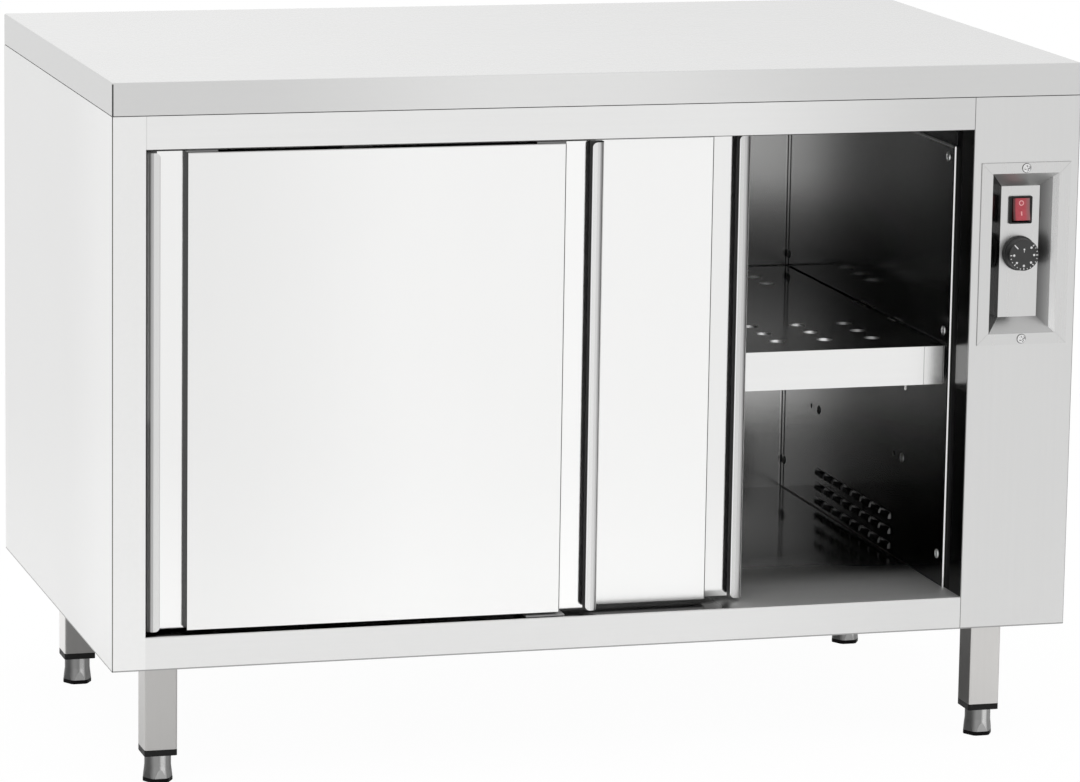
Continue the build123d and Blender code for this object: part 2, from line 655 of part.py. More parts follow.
# The shelf, a tray turned upside down, with two groups of round holes for the warm air.
shelf_left = CHAMBER_LEFT + SHELF_SIDE_GAP
shelf_right = CHAMBER_RIGHT - SHELF_SIDE_GAP
with BuildPart() as shelf:
    block(shelf_left, shelf_right, SHELF_FRONT, SHELF_BACK, SHELF_TOP - SHELF_LIP, SHELF_TOP)
    fillet(shelf.edges().filter_by(Axis.Z), SHELF_CORNER)
    fillet(shelf.faces().sort_by(Axis.Z)[-1].edges(), THIN_BEND)
    block(
        shelf_left + SHELF_SHEET, shelf_right - SHELF_SHEET,
        SHELF_FRONT + SHELF_SHEET, SHELF_BACK - SHELF_SHEET,
        SHELF_TOP - SHELF_LIP, SHELF_TOP - SHELF_SHEET, mode=Mode.SUBTRACT,
    )
    for row_middle in (SHELF_FRONT + FRONT_HOLES_INSET, SHELF_BACK - BACK_HOLES_INSET):
        with BuildSketch(facing_up((shelf_left + shelf_right) / 2, row_middle, SHELF_TOP)):
            with GridLocations(
                SHELF_HOLE_PITCH_X, SHELF_HOLE_PITCH_Y, SHELF_HOLE_COLUMNS, SHELF_HOLE_ROWS
            ):
                Circle(SHELF_HOLE / 2)
        extrude(amount=-2 * SHELF_SHEET, mode=Mode.SUBTRACT)
write(shelf, "shelf")

# ---- Door tracks, guide and buffers -----------------------------------------------------

# Distances from a door's face to the parts of its hanger, roller and track.
roller_front = HANGER_DEPTH + HANGER_SHEET + JOINT_GAP
roller_back = roller_front + ROLLER_WIDTH
ledge_front = roller_front + JOINT_GAP
ledge_back = ledge_front + TRACK_LEDGE
axle_height = DOOR_TOP + AXLE_HEIGHT
roller_run = ROLLER_DIAMETER / 2
track_ledge_top = axle_height - roller_run - JOINT_GAP


# A track is a folded sheet screwed under the top rail: a flange, a web and a ledge.
for door_name, (door_left, door_depth) in DOORS.items():
    with BuildPart() as track:
        block(
            OPENING_LEFT, OPENING_RIGHT,
            door_depth + ledge_front - TRACK_LEDGE, door_depth + ledge_back,
            WORKTOP_UNDER - CASING_SHEET - TRACK_SHEET, WORKTOP_UNDER - CASING_SHEET,
        )
        block(
            OPENING_LEFT, OPENING_RIGHT,
            door_depth + ledge_back, door_depth + ledge_back + TRACK_SHEET,
            track_ledge_top - TRACK_SHEET, WORKTOP_UNDER - CASING_SHEET,
        )
        block(
            OPENING_LEFT, OPENING_RIGHT,
            door_depth + ledge_front, door_depth + ledge_back,
            track_ledge_top - TRACK_SHEET, track_ledge_top,
        )
    write(track, f"{door_name}_track")

# A plastic guide block on the chamber's floor, with a fin behind each door.
with BuildPart() as door_guide:
    front_fin = (FRONT_DOOR_DEPTH + DOOR_THICKNESS + REAR_DOOR_DEPTH) / 2
    rear_fin = REAR_DOOR_DEPTH + DOOR_THICKNESS + (front_fin - FRONT_DOOR_DEPTH - DOOR_THICKNESS)
    guide_middle = (OPENING_LEFT + OPENING_RIGHT) / 2 - GUIDE_FROM_MIDDLE
    guide_left = guide_middle - GUIDE_LENGTH / 2
    guide_right = guide_middle + GUIDE_LENGTH / 2
    block(
        guide_left, guide_right, FRONT_DOOR_DEPTH, rear_fin + GUIDE_FIN / 2 + GUIDE_BASE,
        OPENING_BOTTOM, OPENING_BOTTOM + GUIDE_BASE / 2,
    )
    for fin_middle in (front_fin, rear_fin):
        block(
            guide_left, guide_right, fin_middle - GUIDE_FIN / 2, fin_middle + GUIDE_FIN / 2,
            OPENING_BOTTOM, OPENING_BOTTOM + GUIDE_FIN_HEIGHT,
        )
write(door_guide, "door_guide")

# Rubber buffers on the left jamb, where each door's edge comes to rest.
with BuildPart() as door_buffers:
    for door_depth in (FRONT_DOOR_DEPTH, REAR_DOOR_DEPTH):
        for height in (DOOR_BOTTOM + BUFFER_INSET, DOOR_TOP - BUFFER_INSET):
            buffer_plane = Plane(
                origin=place(OPENING_LEFT, door_depth + DOOR_THICKNESS / 2, height),
                x_dir=(0, 1, 0), z_dir=(1, 0, 0),
            )
            with BuildSketch(buffer_plane):
                Circle(BUFFER_DIAMETER / 2)
            extrude(amount=DOOR_SIDE_GAP - JOINT_GAP)
write(door_buffers, "door_buffers")

# ---- Doors ------------------------------------------------------------------------------


def grip_profile(plane, side):
    """The bent profile of one grip: strip, return and lip. side is 1 at a left edge."""
    with BuildSketch(plane) as profile:
        with BuildLine():
            Polyline(
                (0, 0),
                (side * GRIP_LIP, 0),
                (side * GRIP_LIP, DOOR_SHEET),
                (side * DOOR_SHEET, DOOR_SHEET),
                (side * DOOR_SHEET, DOOR_THICKNESS - 2 * DOOR_SHEET),
                (side * SIDE_STRIP, DOOR_THICKNESS - 2 * DOOR_SHEET),
                (side * SIDE_STRIP, DOOR_THICKNESS - DOOR_SHEET),
                (0, DOOR_THICKNESS - DOOR_SHEET),
                close=True,
            )
        make_face()
        inner_corner = profile.vertices().sort_by_distance((side * DOOR_SHEET, DOOR_SHEET))[0]
        fillet(inner_corner, GRIP_BEND - DOOR_SHEET)
        fillet(profile.vertices().sort_by_distance((0, 0))[0], GRIP_BEND)
    return profile.sketch


for door_name, (door_left, door_depth) in DOORS.items():
    door_right = door_left + DOOR_WIDTH
    panel_left = door_left + SIDE_STRIP
    panel_right = door_right - SIDE_STRIP
    door_back = door_depth + DOOR_THICKNESS

    # The proud middle of the door: a shallow tray that opens to the back.
    with BuildPart() as door_face:
        block(panel_left, panel_right, door_depth, door_back - DOOR_SHEET, DOOR_BOTTOM, DOOR_TOP)
        block(
            panel_left + DOOR_SHEET, panel_right - DOOR_SHEET,
            door_depth + DOOR_SHEET, door_back - DOOR_SHEET,
            DOOR_BOTTOM + DOOR_SHEET, DOOR_TOP - DOOR_SHEET, mode=Mode.SUBTRACT,
        )
        front_sheet = door_face.faces().sort_by(Axis.Y)[0]
        fillet(front_sheet.edges(), THIN_BEND)
    write(door_face, f"{door_name}_face")

    # The flat sheet that closes the door at the back.
    with BuildPart() as door_liner:
        block(door_left, door_right, door_back - DOOR_SHEET, door_back, DOOR_BOTTOM, DOOR_TOP)
    write(door_liner, f"{door_name}_liner")

    # A recessed strip at each side, bent forward and in again as a finger grip.
    for side_name, edge, side in (("left", door_left, 1), ("right", door_right, -1)):
        with BuildPart() as grip:
            extrude(grip_profile(facing_up(edge, door_depth, DOOR_BOTTOM), side), amount=DOOR_HEIGHT)
            lip_edge = place(edge + side * GRIP_LIP, 0, 0).X
            lip_corners = grip.edges().filter_by(Axis.Y).filter_by_position(
                Axis.X, lip_edge - DOOR_SHEET / 2, lip_edge + DOOR_SHEET / 2
            )
            fillet(lip_corners, LIP_CORNER)
        write(grip, f"{door_name}_{side_name}_grip")

    # Two hangers on the door's top edge, each with the fixed axle of its roller.
    axle_places = (
        panel_left + HANGER_WIDTH / 2,
        panel_right - HANGER_WIDTH / 2,
    )
    with BuildPart() as hangers:
        upright_front = door_depth + HANGER_DEPTH
        upright_back = upright_front + HANGER_SHEET
        for middle in axle_places:
            block(
                middle - HANGER_WIDTH / 2, middle + HANGER_WIDTH / 2,
                door_depth + 2 * DOOR_SHEET, door_back - 2 * DOOR_SHEET,
                DOOR_TOP, DOOR_TOP + HANGER_SHEET,
            )
            block(
                middle - HANGER_WIDTH / 2, middle + HANGER_WIDTH / 2, upright_front, upright_back,
                DOOR_TOP, axle_height + AXLE_DIAMETER,
            )
            with BuildSketch(facing_front(middle, upright_back, axle_height)):
                Circle(AXLE_DIAMETER / 2)
            extrude(amount=-(ROLLER_WIDTH + 2 * JOINT_GAP))
    write(hangers, f"{door_name}_hangers")

    # Two nylon rollers with a shallow groove, each on its own axle.
    for side_name, middle in zip(("left", "right"), axle_places):
        roller_plane = facing_front(middle, door_depth + roller_back, axle_height)
        with BuildPart() as roller:
            with BuildSketch(roller_plane):
                Circle(roller_run)
                Circle(AXLE_DIAMETER / 2 + RUNNING_FIT, mode=Mode.SUBTRACT)
            extrude(amount=ROLLER_WIDTH)
            with BuildSketch(roller_plane.offset(ROLLER_WIDTH / 3)):
                Circle(roller_run)
                Circle(roller_run - ROLLER_GROOVE, mode=Mode.SUBTRACT)
            extrude(amount=ROLLER_WIDTH / 3, mode=Mode.SUBTRACT)
        write(roller, f"{door_name}_{side_name}_roller")

# ---- Control recess ---------------------------------------------------------------------

opening_width = DISH_WIDTH - 2 * DISH_RIM_X
opening_height = DISH_HEIGHT - 2 * DISH_RIM_Z


# A pressed dish whose flat rim lies on the column's sheet.
wall_grow = DISH_SHEET * 2 ** 0.5
with BuildPart() as control_recess:
    dish_front = facing_front(COLUMN_MIDDLE, 0, DISH_MIDDLE)
    with BuildSketch(dish_front):
        Rectangle(DISH_WIDTH, DISH_HEIGHT)
    extrude(amount=DISH_SHEET)
    with BuildSketch(dish_front):
        Rectangle(opening_width + 2 * (wall_grow - DISH_SHEET),
                  opening_height + 2 * (wall_grow - DISH_SHEET))
    with BuildSketch(dish_front.offset(-DISH_DEPTH)):
        Rectangle(opening_width - 2 * DISH_DEPTH + 2 * (wall_grow - DISH_SHEET),
                  opening_height - 2 * DISH_DEPTH + 2 * (wall_grow - DISH_SHEET))
    loft()
    with BuildSketch(dish_front.offset(DISH_SHEET)):
        Rectangle(opening_width, opening_height)
    with BuildSketch(dish_front.offset(-DISH_FLOOR)):
        Rectangle(opening_width - 2 * DISH_DEPTH, opening_height - 2 * DISH_DEPTH)
    loft(mode=Mode.SUBTRACT)
    with BuildSketch(facing_front(COLUMN_MIDDLE, DISH_FLOOR, SWITCH_MIDDLE)):
        Rectangle(ROCKER_POCKET_WIDTH + 2 * DISH_SHEET, ROCKER_POCKET_HEIGHT + 2 * DISH_SHEET)
    extrude(amount=-2 * DISH_SHEET, mode=Mode.SUBTRACT)
    with BuildSketch(facing_front(COLUMN_MIDDLE, DISH_FLOOR, KNOB_HEIGHT)):
        Circle(BUSHING_DIAMETER / 2 + SEAT_FIT)
    extrude(amount=-2 * DISH_SHEET, mode=Mode.SUBTRACT)
    with BuildSketch(dish_front):
        with GridLocations(0, screw_reach, 1, 2):
            Circle(SCREW_DIAMETER / 2 + SCREW_CLEARANCE)
    extrude(amount=DISH_SHEET, mode=Mode.SUBTRACT)
write(control_recess, "control_recess")

with BuildPart() as recess_screws:
    for side in (-1, 1):
        head_plane = facing_front(COLUMN_MIDDLE, -DISH_SHEET, DISH_MIDDLE + side * screw_reach / 2)
        screw(head_plane, SCREW_HEAD, SCREW_HEAD_HEIGHT, SCREW_DIAMETER, SCREW_LENGTH)
write(recess_screws, "recess_screws")

# ---- Rocker switch ----------------------------------------------------------------------

pivot_depth = DISH_FLOOR + ROCKER_PIVOT
switch_front = facing_front(COLUMN_MIDDLE, DISH_FLOOR, SWITCH_MIDDLE)
switch_back = DISH_FLOOR + SWITCH_BODY_DEPTH

# The frame lies on the dish's floor, and the body clips through it.
with BuildPart() as switch_housing:
    with BuildSketch(switch_front):
        RectangleRounded(SWITCH_WIDTH, SWITCH_HEIGHT, SWITCH_CORNER)
    extrude(amount=SWITCH_RIM)
    with BuildSketch(switch_front):
        Rectangle(
            ROCKER_POCKET_WIDTH + 2 * (DISH_SHEET - SEAT_FIT),
            ROCKER_POCKET_HEIGHT + 2 * (DISH_SHEET - SEAT_FIT),
        )
    extrude(amount=-SWITCH_BODY_DEPTH)
    with BuildSketch(switch_front.offset(SWITCH_RIM)):
        Rectangle(ROCKER_POCKET_WIDTH, ROCKER_POCKET_HEIGHT)
    extrude(amount=-(SWITCH_RIM + SWITCH_BODY_DEPTH / 2), mode=Mode.SUBTRACT)
    pin_bore = Plane(origin=place(COLUMN_MIDDLE, pivot_depth, SWITCH_MIDDLE), z_dir=(1, 0, 0))
    with Locations(pin_bore):
        Cylinder(
            ROCKER_PIN / 2 + RUNNING_FIT, ROCKER_POCKET_WIDTH + 2 * (DISH_SHEET - 2 * SEAT_FIT),
            mode=Mode.SUBTRACT,
        )
    # Two flat terminals at the back.
    with BuildSketch(facing_front(COLUMN_MIDDLE, switch_back, SWITCH_MIDDLE)):
        with GridLocations(0, TAB_SPACING, 1, 2):
            Rectangle(TAB_WIDTH, TAB_SHEET)
    extrude(amount=-TAB_LENGTH)
write(switch_housing, "switch_housing")


def rocker_corner(up, forward):
    """A corner of the rocker in its pressed place: turned back about the pivot."""
    turn = radians(ROCKER_TILT)
    return (
        forward * cos(turn) - up * sin(turn),
        up * cos(turn) + forward * sin(turn),
    )


# The rocker, drawn from its side and pressed in at the top, with a pin at each side.
rocker_side = Plane(
    origin=place(COLUMN_MIDDLE - ROCKER_WIDTH / 2, pivot_depth, SWITCH_MIDDLE),
    x_dir=(0, -1, 0), z_dir=(-1, 0, 0),
)
with BuildPart() as rocker:
    with BuildSketch(rocker_side):
        with BuildLine():
            Polyline(
                rocker_corner(ROCKER_HALF, ROCKER_REACH),
                rocker_corner(0, ROCKER_SADDLE),
                rocker_corner(-ROCKER_HALF, ROCKER_REACH),
                rocker_corner(ROCKER_BACK_INSET - ROCKER_HALF, -ROCKER_SADDLE),
                rocker_corner(ROCKER_HALF - ROCKER_BACK_INSET, -ROCKER_SADDLE),
                close=True,
            )
        make_face()
    extrude(amount=-ROCKER_WIDTH)
    with Locations(pin_bore):
        Cylinder(ROCKER_PIN / 2, ROCKER_WIDTH + 2 * ROCKER_PIN_LENGTH)
write(rocker, "rocker")

# ---- Thermostat -------------------------------------------------------------------------

knob_front = facing_front(COLUMN_MIDDLE, -KNOB_PROUD, KNOB_HEIGHT)
knob_back = DISH_FLOOR - KNOB_FLOAT
knob_length = knob_back + KNOB_PROUD
thermostat_front = facing_front(COLUMN_MIDDLE, DISH_DEPTH, KNOB_HEIGHT)

# The thermostat's body is held behind the dish by its threaded bushing.
with BuildPart() as thermostat_body:
    with BuildSketch(thermostat_front):
        RectangleRounded(THERMOSTAT_WIDTH, THERMOSTAT_HEIGHT, THERMOSTAT_CORNER)
    extrude(amount=-THERMOSTAT_DEPTH)
    with BuildSketch(thermostat_front):
        Circle(BUSHING_DIAMETER / 2)
    extrude(amount=DISH_SHEET)
    with BuildSketch(thermostat_front.offset(DISH_SHEET)):
        Circle(SPINDLE_DIAMETER / 2 + RUNNING_FIT)
    extrude(amount=-(BUSHING_LENGTH + THERMOSTAT_DEPTH / 2), mode=Mode.SUBTRACT)
write(thermostat_body, "thermostat_body")

with BuildPart() as thermostat_spindle:
    with BuildSketch(facing_front(COLUMN_MIDDLE, knob_back - KNOB_SOCKET, KNOB_HEIGHT)):
        Circle(SPINDLE_DIAMETER / 2)
    extrude(amount=-(KNOB_SOCKET + KNOB_FLOAT + DISH_SHEET + THERMOSTAT_DEPTH / 3))
write(thermostat_spindle, "thermostat_spindle")

# The knob: a round disc with a wider skirt, and a socket for the spindle behind.
with BuildPart() as knob:
    with BuildSketch(knob_front):
        Circle(KNOB_FACE / 2)
    extrude(amount=-knob_length)
    with BuildSketch(knob_front.offset(-knob_length)):
        Circle(KNOB_BASE / 2)
    extrude(amount=KNOB_SKIRT)
    knob_rim = knob.edges().filter_by(GeomType.CIRCLE).sort_by(Axis.Y)[0]
    fillet(knob_rim, KNOB_ROUND)
    with BuildSketch(knob_front.offset(-knob_length)):
        Circle(SPINDLE_DIAMETER / 2 + SEAT_FIT)
    extrude(amount=KNOB_SOCKET + SEAT_FIT, mode=Mode.SUBTRACT)
write(knob, "knob")

# The capillary tube from the thermostat down to its sensing bulb on the back of the wall.
bulb_left = OPENING_RIGHT - WALL_HEM + LINING_SHEET + BULB_DIAMETER / 2
thermostat_bottom = KNOB_HEIGHT - THERMOSTAT_HEIGHT / 2
bulb_height = thermostat_bottom - BULB_DROP
capillary_depth = DISH_DEPTH + THERMOSTAT_DEPTH / 2
with BuildPart() as thermostat_capillary:
    with BuildLine() as capillary_route:
        FilletPolyline(
            place(COLUMN_MIDDLE, capillary_depth, thermostat_bottom),
            place(COLUMN_MIDDLE, capillary_depth, bulb_height),
            place(COLUMN_MIDDLE, BULB_DEPTH - 2 * CAPILLARY_RUN, bulb_height),
            place(bulb_left, BULB_DEPTH - CAPILLARY_RUN, bulb_height),
            place(bulb_left, BULB_DEPTH, bulb_height),
            radius=CAPILLARY_BEND,
        )
    with BuildSketch(
        Plane(origin=capillary_route.line @ 0, z_dir=capillary_route.line % 0)
    ):
        Circle(CAPILLARY_DIAMETER / 2)
    sweep(path=capillary_route.line)
    with BuildSketch(Plane(origin=place(bulb_left, BULB_DEPTH, bulb_height), z_dir=(0, 1, 0))):
        Circle(BULB_DIAMETER / 2)
    extrude(amount=BULB_LENGTH)
write(thermostat_capillary, "thermostat_capillary")

# ---- Heating unit -----------------------------------------------------------------------

slots_length = (SLOT_COLUMNS - 1) * SLOT_PITCH_Y + SLOT_LENGTH
duct_left = CHAMBER_RIGHT + LINING_SHEET
duct_right = duct_left + DUCT_WIDTH
duct_front = SLOTS_DEPTH - slots_length / 2 - DUCT_MARGIN
duct_back = SLOTS_DEPTH + slots_length / 2 + DUCT_MARGIN
duct_bottom = OPENING_BOTTOM
duct_top = OPENING_BOTTOM + DUCT_HEIGHT
fan_left = (OPENING_RIGHT + CASING_SHEET + duct_right) / 2
fan_opening = facing_up(fan_left, FAN_MIDDLE_DEPTH, duct_top)

# A sheet-metal duct behind the slots, open to them, with the fan on its roof.
with BuildPart() as heater_duct:
    block(duct_left, duct_right, duct_front, duct_back, duct_bottom, duct_top)
    block(
        duct_left, duct_right - DUCT_SHEET, duct_front + DUCT_SHEET, duct_back - DUCT_SHEET,
        duct_bottom + DUCT_SHEET, duct_top - DUCT_SHEET, mode=Mode.SUBTRACT,
    )
    # The floor's folded edge stands inside this corner.
    block(
        duct_left, OPENING_RIGHT, duct_front, duct_back,
        duct_bottom, duct_bottom + DUCT_SHEET, mode=Mode.SUBTRACT,
    )
    with BuildSketch(fan_opening):
        Circle(FAN_BORE / 2)
    extrude(amount=-2 * DUCT_SHEET, mode=Mode.SUBTRACT)
    # Two feet carry it on the sheet under the body.
    for foot_front in (duct_front, duct_back - FLANGE):
        block(
            OPENING_RIGHT + CASING_SHEET, duct_right, foot_front, foot_front + DUCT_SHEET,
            CASING_SHEET, duct_bottom,
        )
    # Holes for the two ends of the heating element.
    heater_left = (duct_left + duct_right) / 2
    with BuildSketch(facing_front(heater_left, duct_front, HEATER_HEIGHT)):
        with GridLocations(2 * HEATER_BEND, 0, 2, 1):
            Circle(HEATER_TUBE / 2 + SCREW_CLEARANCE)
    extrude(amount=-2 * DUCT_SHEET, mode=Mode.SUBTRACT)
write(heater_duct, "heater_duct")

# A hairpin tube heater that enters the duct through a flange at its front end.
heater_back = duct_back - DUCT_MARGIN - HEATER_BEND - HEATER_TUBE / 2
with BuildPart() as heating_element:
    with BuildLine() as hairpin:
        out = Line(
            place(heater_left - HEATER_BEND, duct_front - DUCT_MARGIN, HEATER_HEIGHT),
            place(heater_left - HEATER_BEND, heater_back, HEATER_HEIGHT),
        )
        turn_round = ThreePointArc(
            out @ 1,
            place(heater_left, heater_back + HEATER_BEND, HEATER_HEIGHT),
            place(heater_left + HEATER_BEND, heater_back, HEATER_HEIGHT),
        )
        Line(
            turn_round @ 1,
            place(heater_left + HEATER_BEND, duct_front - DUCT_MARGIN, HEATER_HEIGHT),
        )
    with BuildSketch(Plane(origin=out @ 0, z_dir=out % 0)):
        Circle(HEATER_TUBE / 2)
    sweep(path=hairpin.line)
    with BuildSketch(facing_front(heater_left, duct_front, HEATER_HEIGHT)):
        RectangleRounded(2 * HEATER_BEND + 3 * HEATER_TUBE, 3 * HEATER_TUBE, HEATER_CORNER)
    extrude(amount=HEATER_FLANGE)
write(heating_element, "heating_element")

# The fan's square frame, with a hub on four struts at its outer end.
fan_top = duct_top + FAN_THICKNESS
hub_seat = STRUT_WIDTH / 2
with BuildPart() as fan_frame:
    with BuildSketch(facing_up(fan_left, FAN_MIDDLE_DEPTH, duct_top)):
        RectangleRounded(FAN_SIZE, FAN_SIZE, FAN_CORNER)
        Circle(FAN_BORE / 2, mode=Mode.SUBTRACT)
    extrude(amount=FAN_THICKNESS)
    strut_plane = facing_up(fan_left, FAN_MIDDLE_DEPTH, fan_top - hub_seat)
    with BuildSketch(strut_plane):
        Rectangle(FAN_BORE + hub_seat, STRUT_WIDTH)
        Rectangle(STRUT_WIDTH, FAN_BORE + hub_seat)
        Circle(HUB_DIAMETER / 2)
    extrude(amount=hub_seat)
    with BuildSketch(strut_plane):
        Circle(FAN_SHAFT / 2 + RUNNING_FIT)
    extrude(amount=hub_seat - DUCT_SHEET, mode=Mode.SUBTRACT)
write(fan_frame, "fan_frame")

# The impeller: a hub with pitched blades, on a short shaft in the frame's hub.
hub_height = FAN_THICKNESS - hub_seat - 2 * STRUT_WIDTH
impeller_bottom = duct_top + STRUT_WIDTH
blade_outer = FAN_BORE / 2 - TIP_CLEARANCE
blade_inner = HUB_DIAMETER / 2 - 2 * BLADE_SHEET
with BuildPart() as fan_impeller:
    with BuildSketch(facing_up(fan_left, FAN_MIDDLE_DEPTH, impeller_bottom)):
        Circle(HUB_DIAMETER / 2)
    extrude(amount=hub_height)
    blade_chord = hub_height * 0.9 / sin(radians(BLADE_PITCH))
    blade_middle = impeller_bottom + hub_height / 2
    hub_axis = facing_up(fan_left, FAN_MIDDLE_DEPTH, blade_middle)
    for blade in range(FAN_BLADES):
        blade_plane = hub_axis.rotated((0, 0, blade * 360 / FAN_BLADES))
        with Locations(blade_plane):
            with Locations(
                Location(((blade_inner + blade_outer) / 2, 0, 0), (BLADE_PITCH, 0, 0))
            ):
                Box(blade_outer - blade_inner, blade_chord, BLADE_SHEET)
    # The blades' tips are trimmed to a circle.
    with BuildSketch(facing_up(fan_left, FAN_MIDDLE_DEPTH, impeller_bottom - STRUT_WIDTH)):
        Circle(FAN_BORE)
        Circle(blade_outer, mode=Mode.SUBTRACT)
    extrude(amount=FAN_THICKNESS, mode=Mode.SUBTRACT)
    with BuildSketch(facing_up(fan_left, FAN_MIDDLE_DEPTH, impeller_bottom + hub_height)):
        Circle(FAN_SHAFT / 2)
    extrude(amount=fan_top - DUCT_SHEET - JOINT_GAP - impeller_bottom - hub_height)
write(fan_impeller, "fan_impeller")

# ---- Mains connection -------------------------------------------------------------------

terminal_left = gland_left - GLAND_NUT - TERMINAL_LENGTH / 2
terminal_depth = gland_depth
with BuildPart() as terminal_block:
    with BuildSketch(facing_up(terminal_left, terminal_depth, CASING_SHEET)):
        Rectangle(TERMINAL_LENGTH, TERMINAL_DEPTH)
    extrude(amount=TERMINAL_HEIGHT)
    with BuildSketch(facing_up(terminal_left, terminal_depth, CASING_SHEET + TERMINAL_HEIGHT)):
        with GridLocations(TERMINAL_LENGTH / TERMINAL_WAYS, TERMINAL_DEPTH / 2, TERMINAL_WAYS, 2):
            Circle(TERMINAL_SCREW / 2)
    extrude(amount=-TERMINAL_SCREW, mode=Mode.SUBTRACT)
write(terminal_block, "terminal_block")

# The gland hangs under the body, with its lock nut inside.
gland_plane = facing_up(gland_left, gland_depth, 0)
with BuildPart() as cable_gland:
    with BuildSketch(gland_plane):
        RegularPolygon(GLAND_NUT / 2, 6, major_radius=False)
    extrude(amount=-GLAND_NUT_HEIGHT)
    with BuildSketch(gland_plane.offset(-GLAND_NUT_HEIGHT)):
        Circle(GLAND_THREAD / 2 + GLAND_DOME_WALL)
    extrude(amount=-GLAND_DOME_HEIGHT)
    dome_rim = cable_gland.edges().filter_by(GeomType.CIRCLE).sort_by(Axis.Z)[0]
    fillet(dome_rim, GLAND_DOME_ROUND)
    with BuildSketch(gland_plane):
        Circle(GLAND_THREAD / 2)
    extrude(amount=CASING_SHEET)
    with BuildSketch(gland_plane.offset(CASING_SHEET)):
        RegularPolygon(GLAND_NUT / 2, 6, major_radius=False)
    extrude(amount=GLAND_NUT_HEIGHT)
    with BuildSketch(gland_plane.offset(CASING_SHEET + GLAND_NUT_HEIGHT)):
        Circle(GLAND_BORE / 2)
    extrude(
        amount=-(CASING_SHEET + 2 * GLAND_NUT_HEIGHT + GLAND_DOME_HEIGHT), mode=Mode.SUBTRACT
    )
write(cable_gland, "cable_gland")

# ---- Legs and feet ----------------------------------------------------------------------

leg_top = -LEG_PLATE_SHEET
leg_bottom = FOOT_HEIGHT + INSERT_FLANGE - LEG_HEIGHT
leg_inner = LEG_TUBE - 2 * LEG_WALL

for corner, (leg_left, leg_depth) in LEGS.items():
    # A square tube welded to the plate it is bolted up by.
    with BuildPart() as leg:
        with BuildSketch(facing_up(leg_left, leg_depth, leg_bottom)):
            RectangleRounded(LEG_TUBE, LEG_TUBE, LEG_CORNER)
            RectangleRounded(leg_inner, leg_inner, LEG_CORNER - LEG_WALL, mode=Mode.SUBTRACT)
        extrude(amount=leg_top - leg_bottom)
        with BuildSketch(facing_up(leg_left, leg_depth, leg_top)):
            RectangleRounded(LEG_PLATE, LEG_PLATE, LEG_CORNER)
            with GridLocations(bolt_reach, bolt_reach, 2, 2):
                Circle(LEG_BOLT / 2 + SCREW_CLEARANCE, mode=Mode.SUBTRACT)
        extrude(amount=LEG_PLATE_SHEET)
    write(leg, f"leg_{corner}")

    # The foot: a round sleeve that flares to six flats, on the threaded stem it screws in by.
    foot_bottom = facing_up(leg_left, leg_depth, -LEG_HEIGHT)
    sleeve_height = FOOT_HEIGHT - JOINT_GAP
    with BuildPart() as foot:
        with BuildSketch(facing_front(leg_left, leg_depth, -LEG_HEIGHT)):
            with BuildLine():
                Polyline(
                    (0, 0),
                    (FOOT_FLARE / 2, 0),
                    (FOOT_FLARE / 2, FOOT_RIM),
                    (FOOT_SLEEVE / 2, FOOT_RIM + FOOT_TAPER),
                    (FOOT_SLEEVE / 2, sleeve_height),
                    (0, sleeve_height),
                    close=True,
                )
            make_face()
        revolve(axis=Axis(foot_bottom.origin, (0, 0, 1)))
        with BuildSketch(foot_bottom):
            RegularPolygon(FOOT_FLATS / 2, 6, major_radius=False)
        extrude(amount=FOOT_HEIGHT, mode=Mode.INTERSECT)
        with BuildSketch(foot_bottom.offset(sleeve_height)):
            Circle(STEM_DIAMETER / 2)
        extrude(amount=STEM_LENGTH)
    write(foot, f"foot_{corner}")

# A plastic insert closes each tube, with a flange below and the foot's thread inside.
with BuildPart() as leg_inserts:
    for leg_left, leg_depth in LEGS.values():
        with BuildSketch(facing_up(leg_left, leg_depth, leg_bottom)):
            RectangleRounded(LEG_TUBE, LEG_TUBE, LEG_CORNER)
        extrude(amount=-INSERT_FLANGE)
        with BuildSketch(facing_up(leg_left, leg_depth, leg_bottom)):
            RectangleRounded(
                leg_inner - 2 * SEAT_FIT, leg_inner - 2 * SEAT_FIT, LEG_CORNER - LEG_WALL
            )
        extrude(amount=INSERT_DEPTH)
        with BuildSketch(facing_up(leg_left, leg_depth, leg_bottom - INSERT_FLANGE)):
            Circle(STEM_DIAMETER / 2 + RUNNING_FIT)
        extrude(amount=INSERT_FLANGE + INSERT_DEPTH, mode=Mode.SUBTRACT)
write(leg_inserts, "leg_inserts")

# Four bolts hold each leg's plate up against the body.
with BuildPart() as leg_bolts:
    for leg_left, leg_depth in LEGS.values():
        head_plane = facing_up(leg_left, leg_depth, leg_top)
        with BuildSketch(head_plane):
            with GridLocations(bolt_reach, bolt_reach, 2, 2):
                RegularPolygon(LEG_BOLT_HEAD / 2, 6, major_radius=False)
        extrude(amount=-LEG_BOLT_HEAD_HEIGHT)
        with BuildSketch(head_plane):
            with GridLocations(bolt_reach, bolt_reach, 2, 2):
                Circle(LEG_BOLT / 2)
        extrude(amount=LEG_BOLT_LENGTH)
write(leg_bolts, "leg_bolts")
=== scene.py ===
import json
from math import cos, pi, radians, sin

import bmesh
import bpy
from mathutils import Matrix, Vector


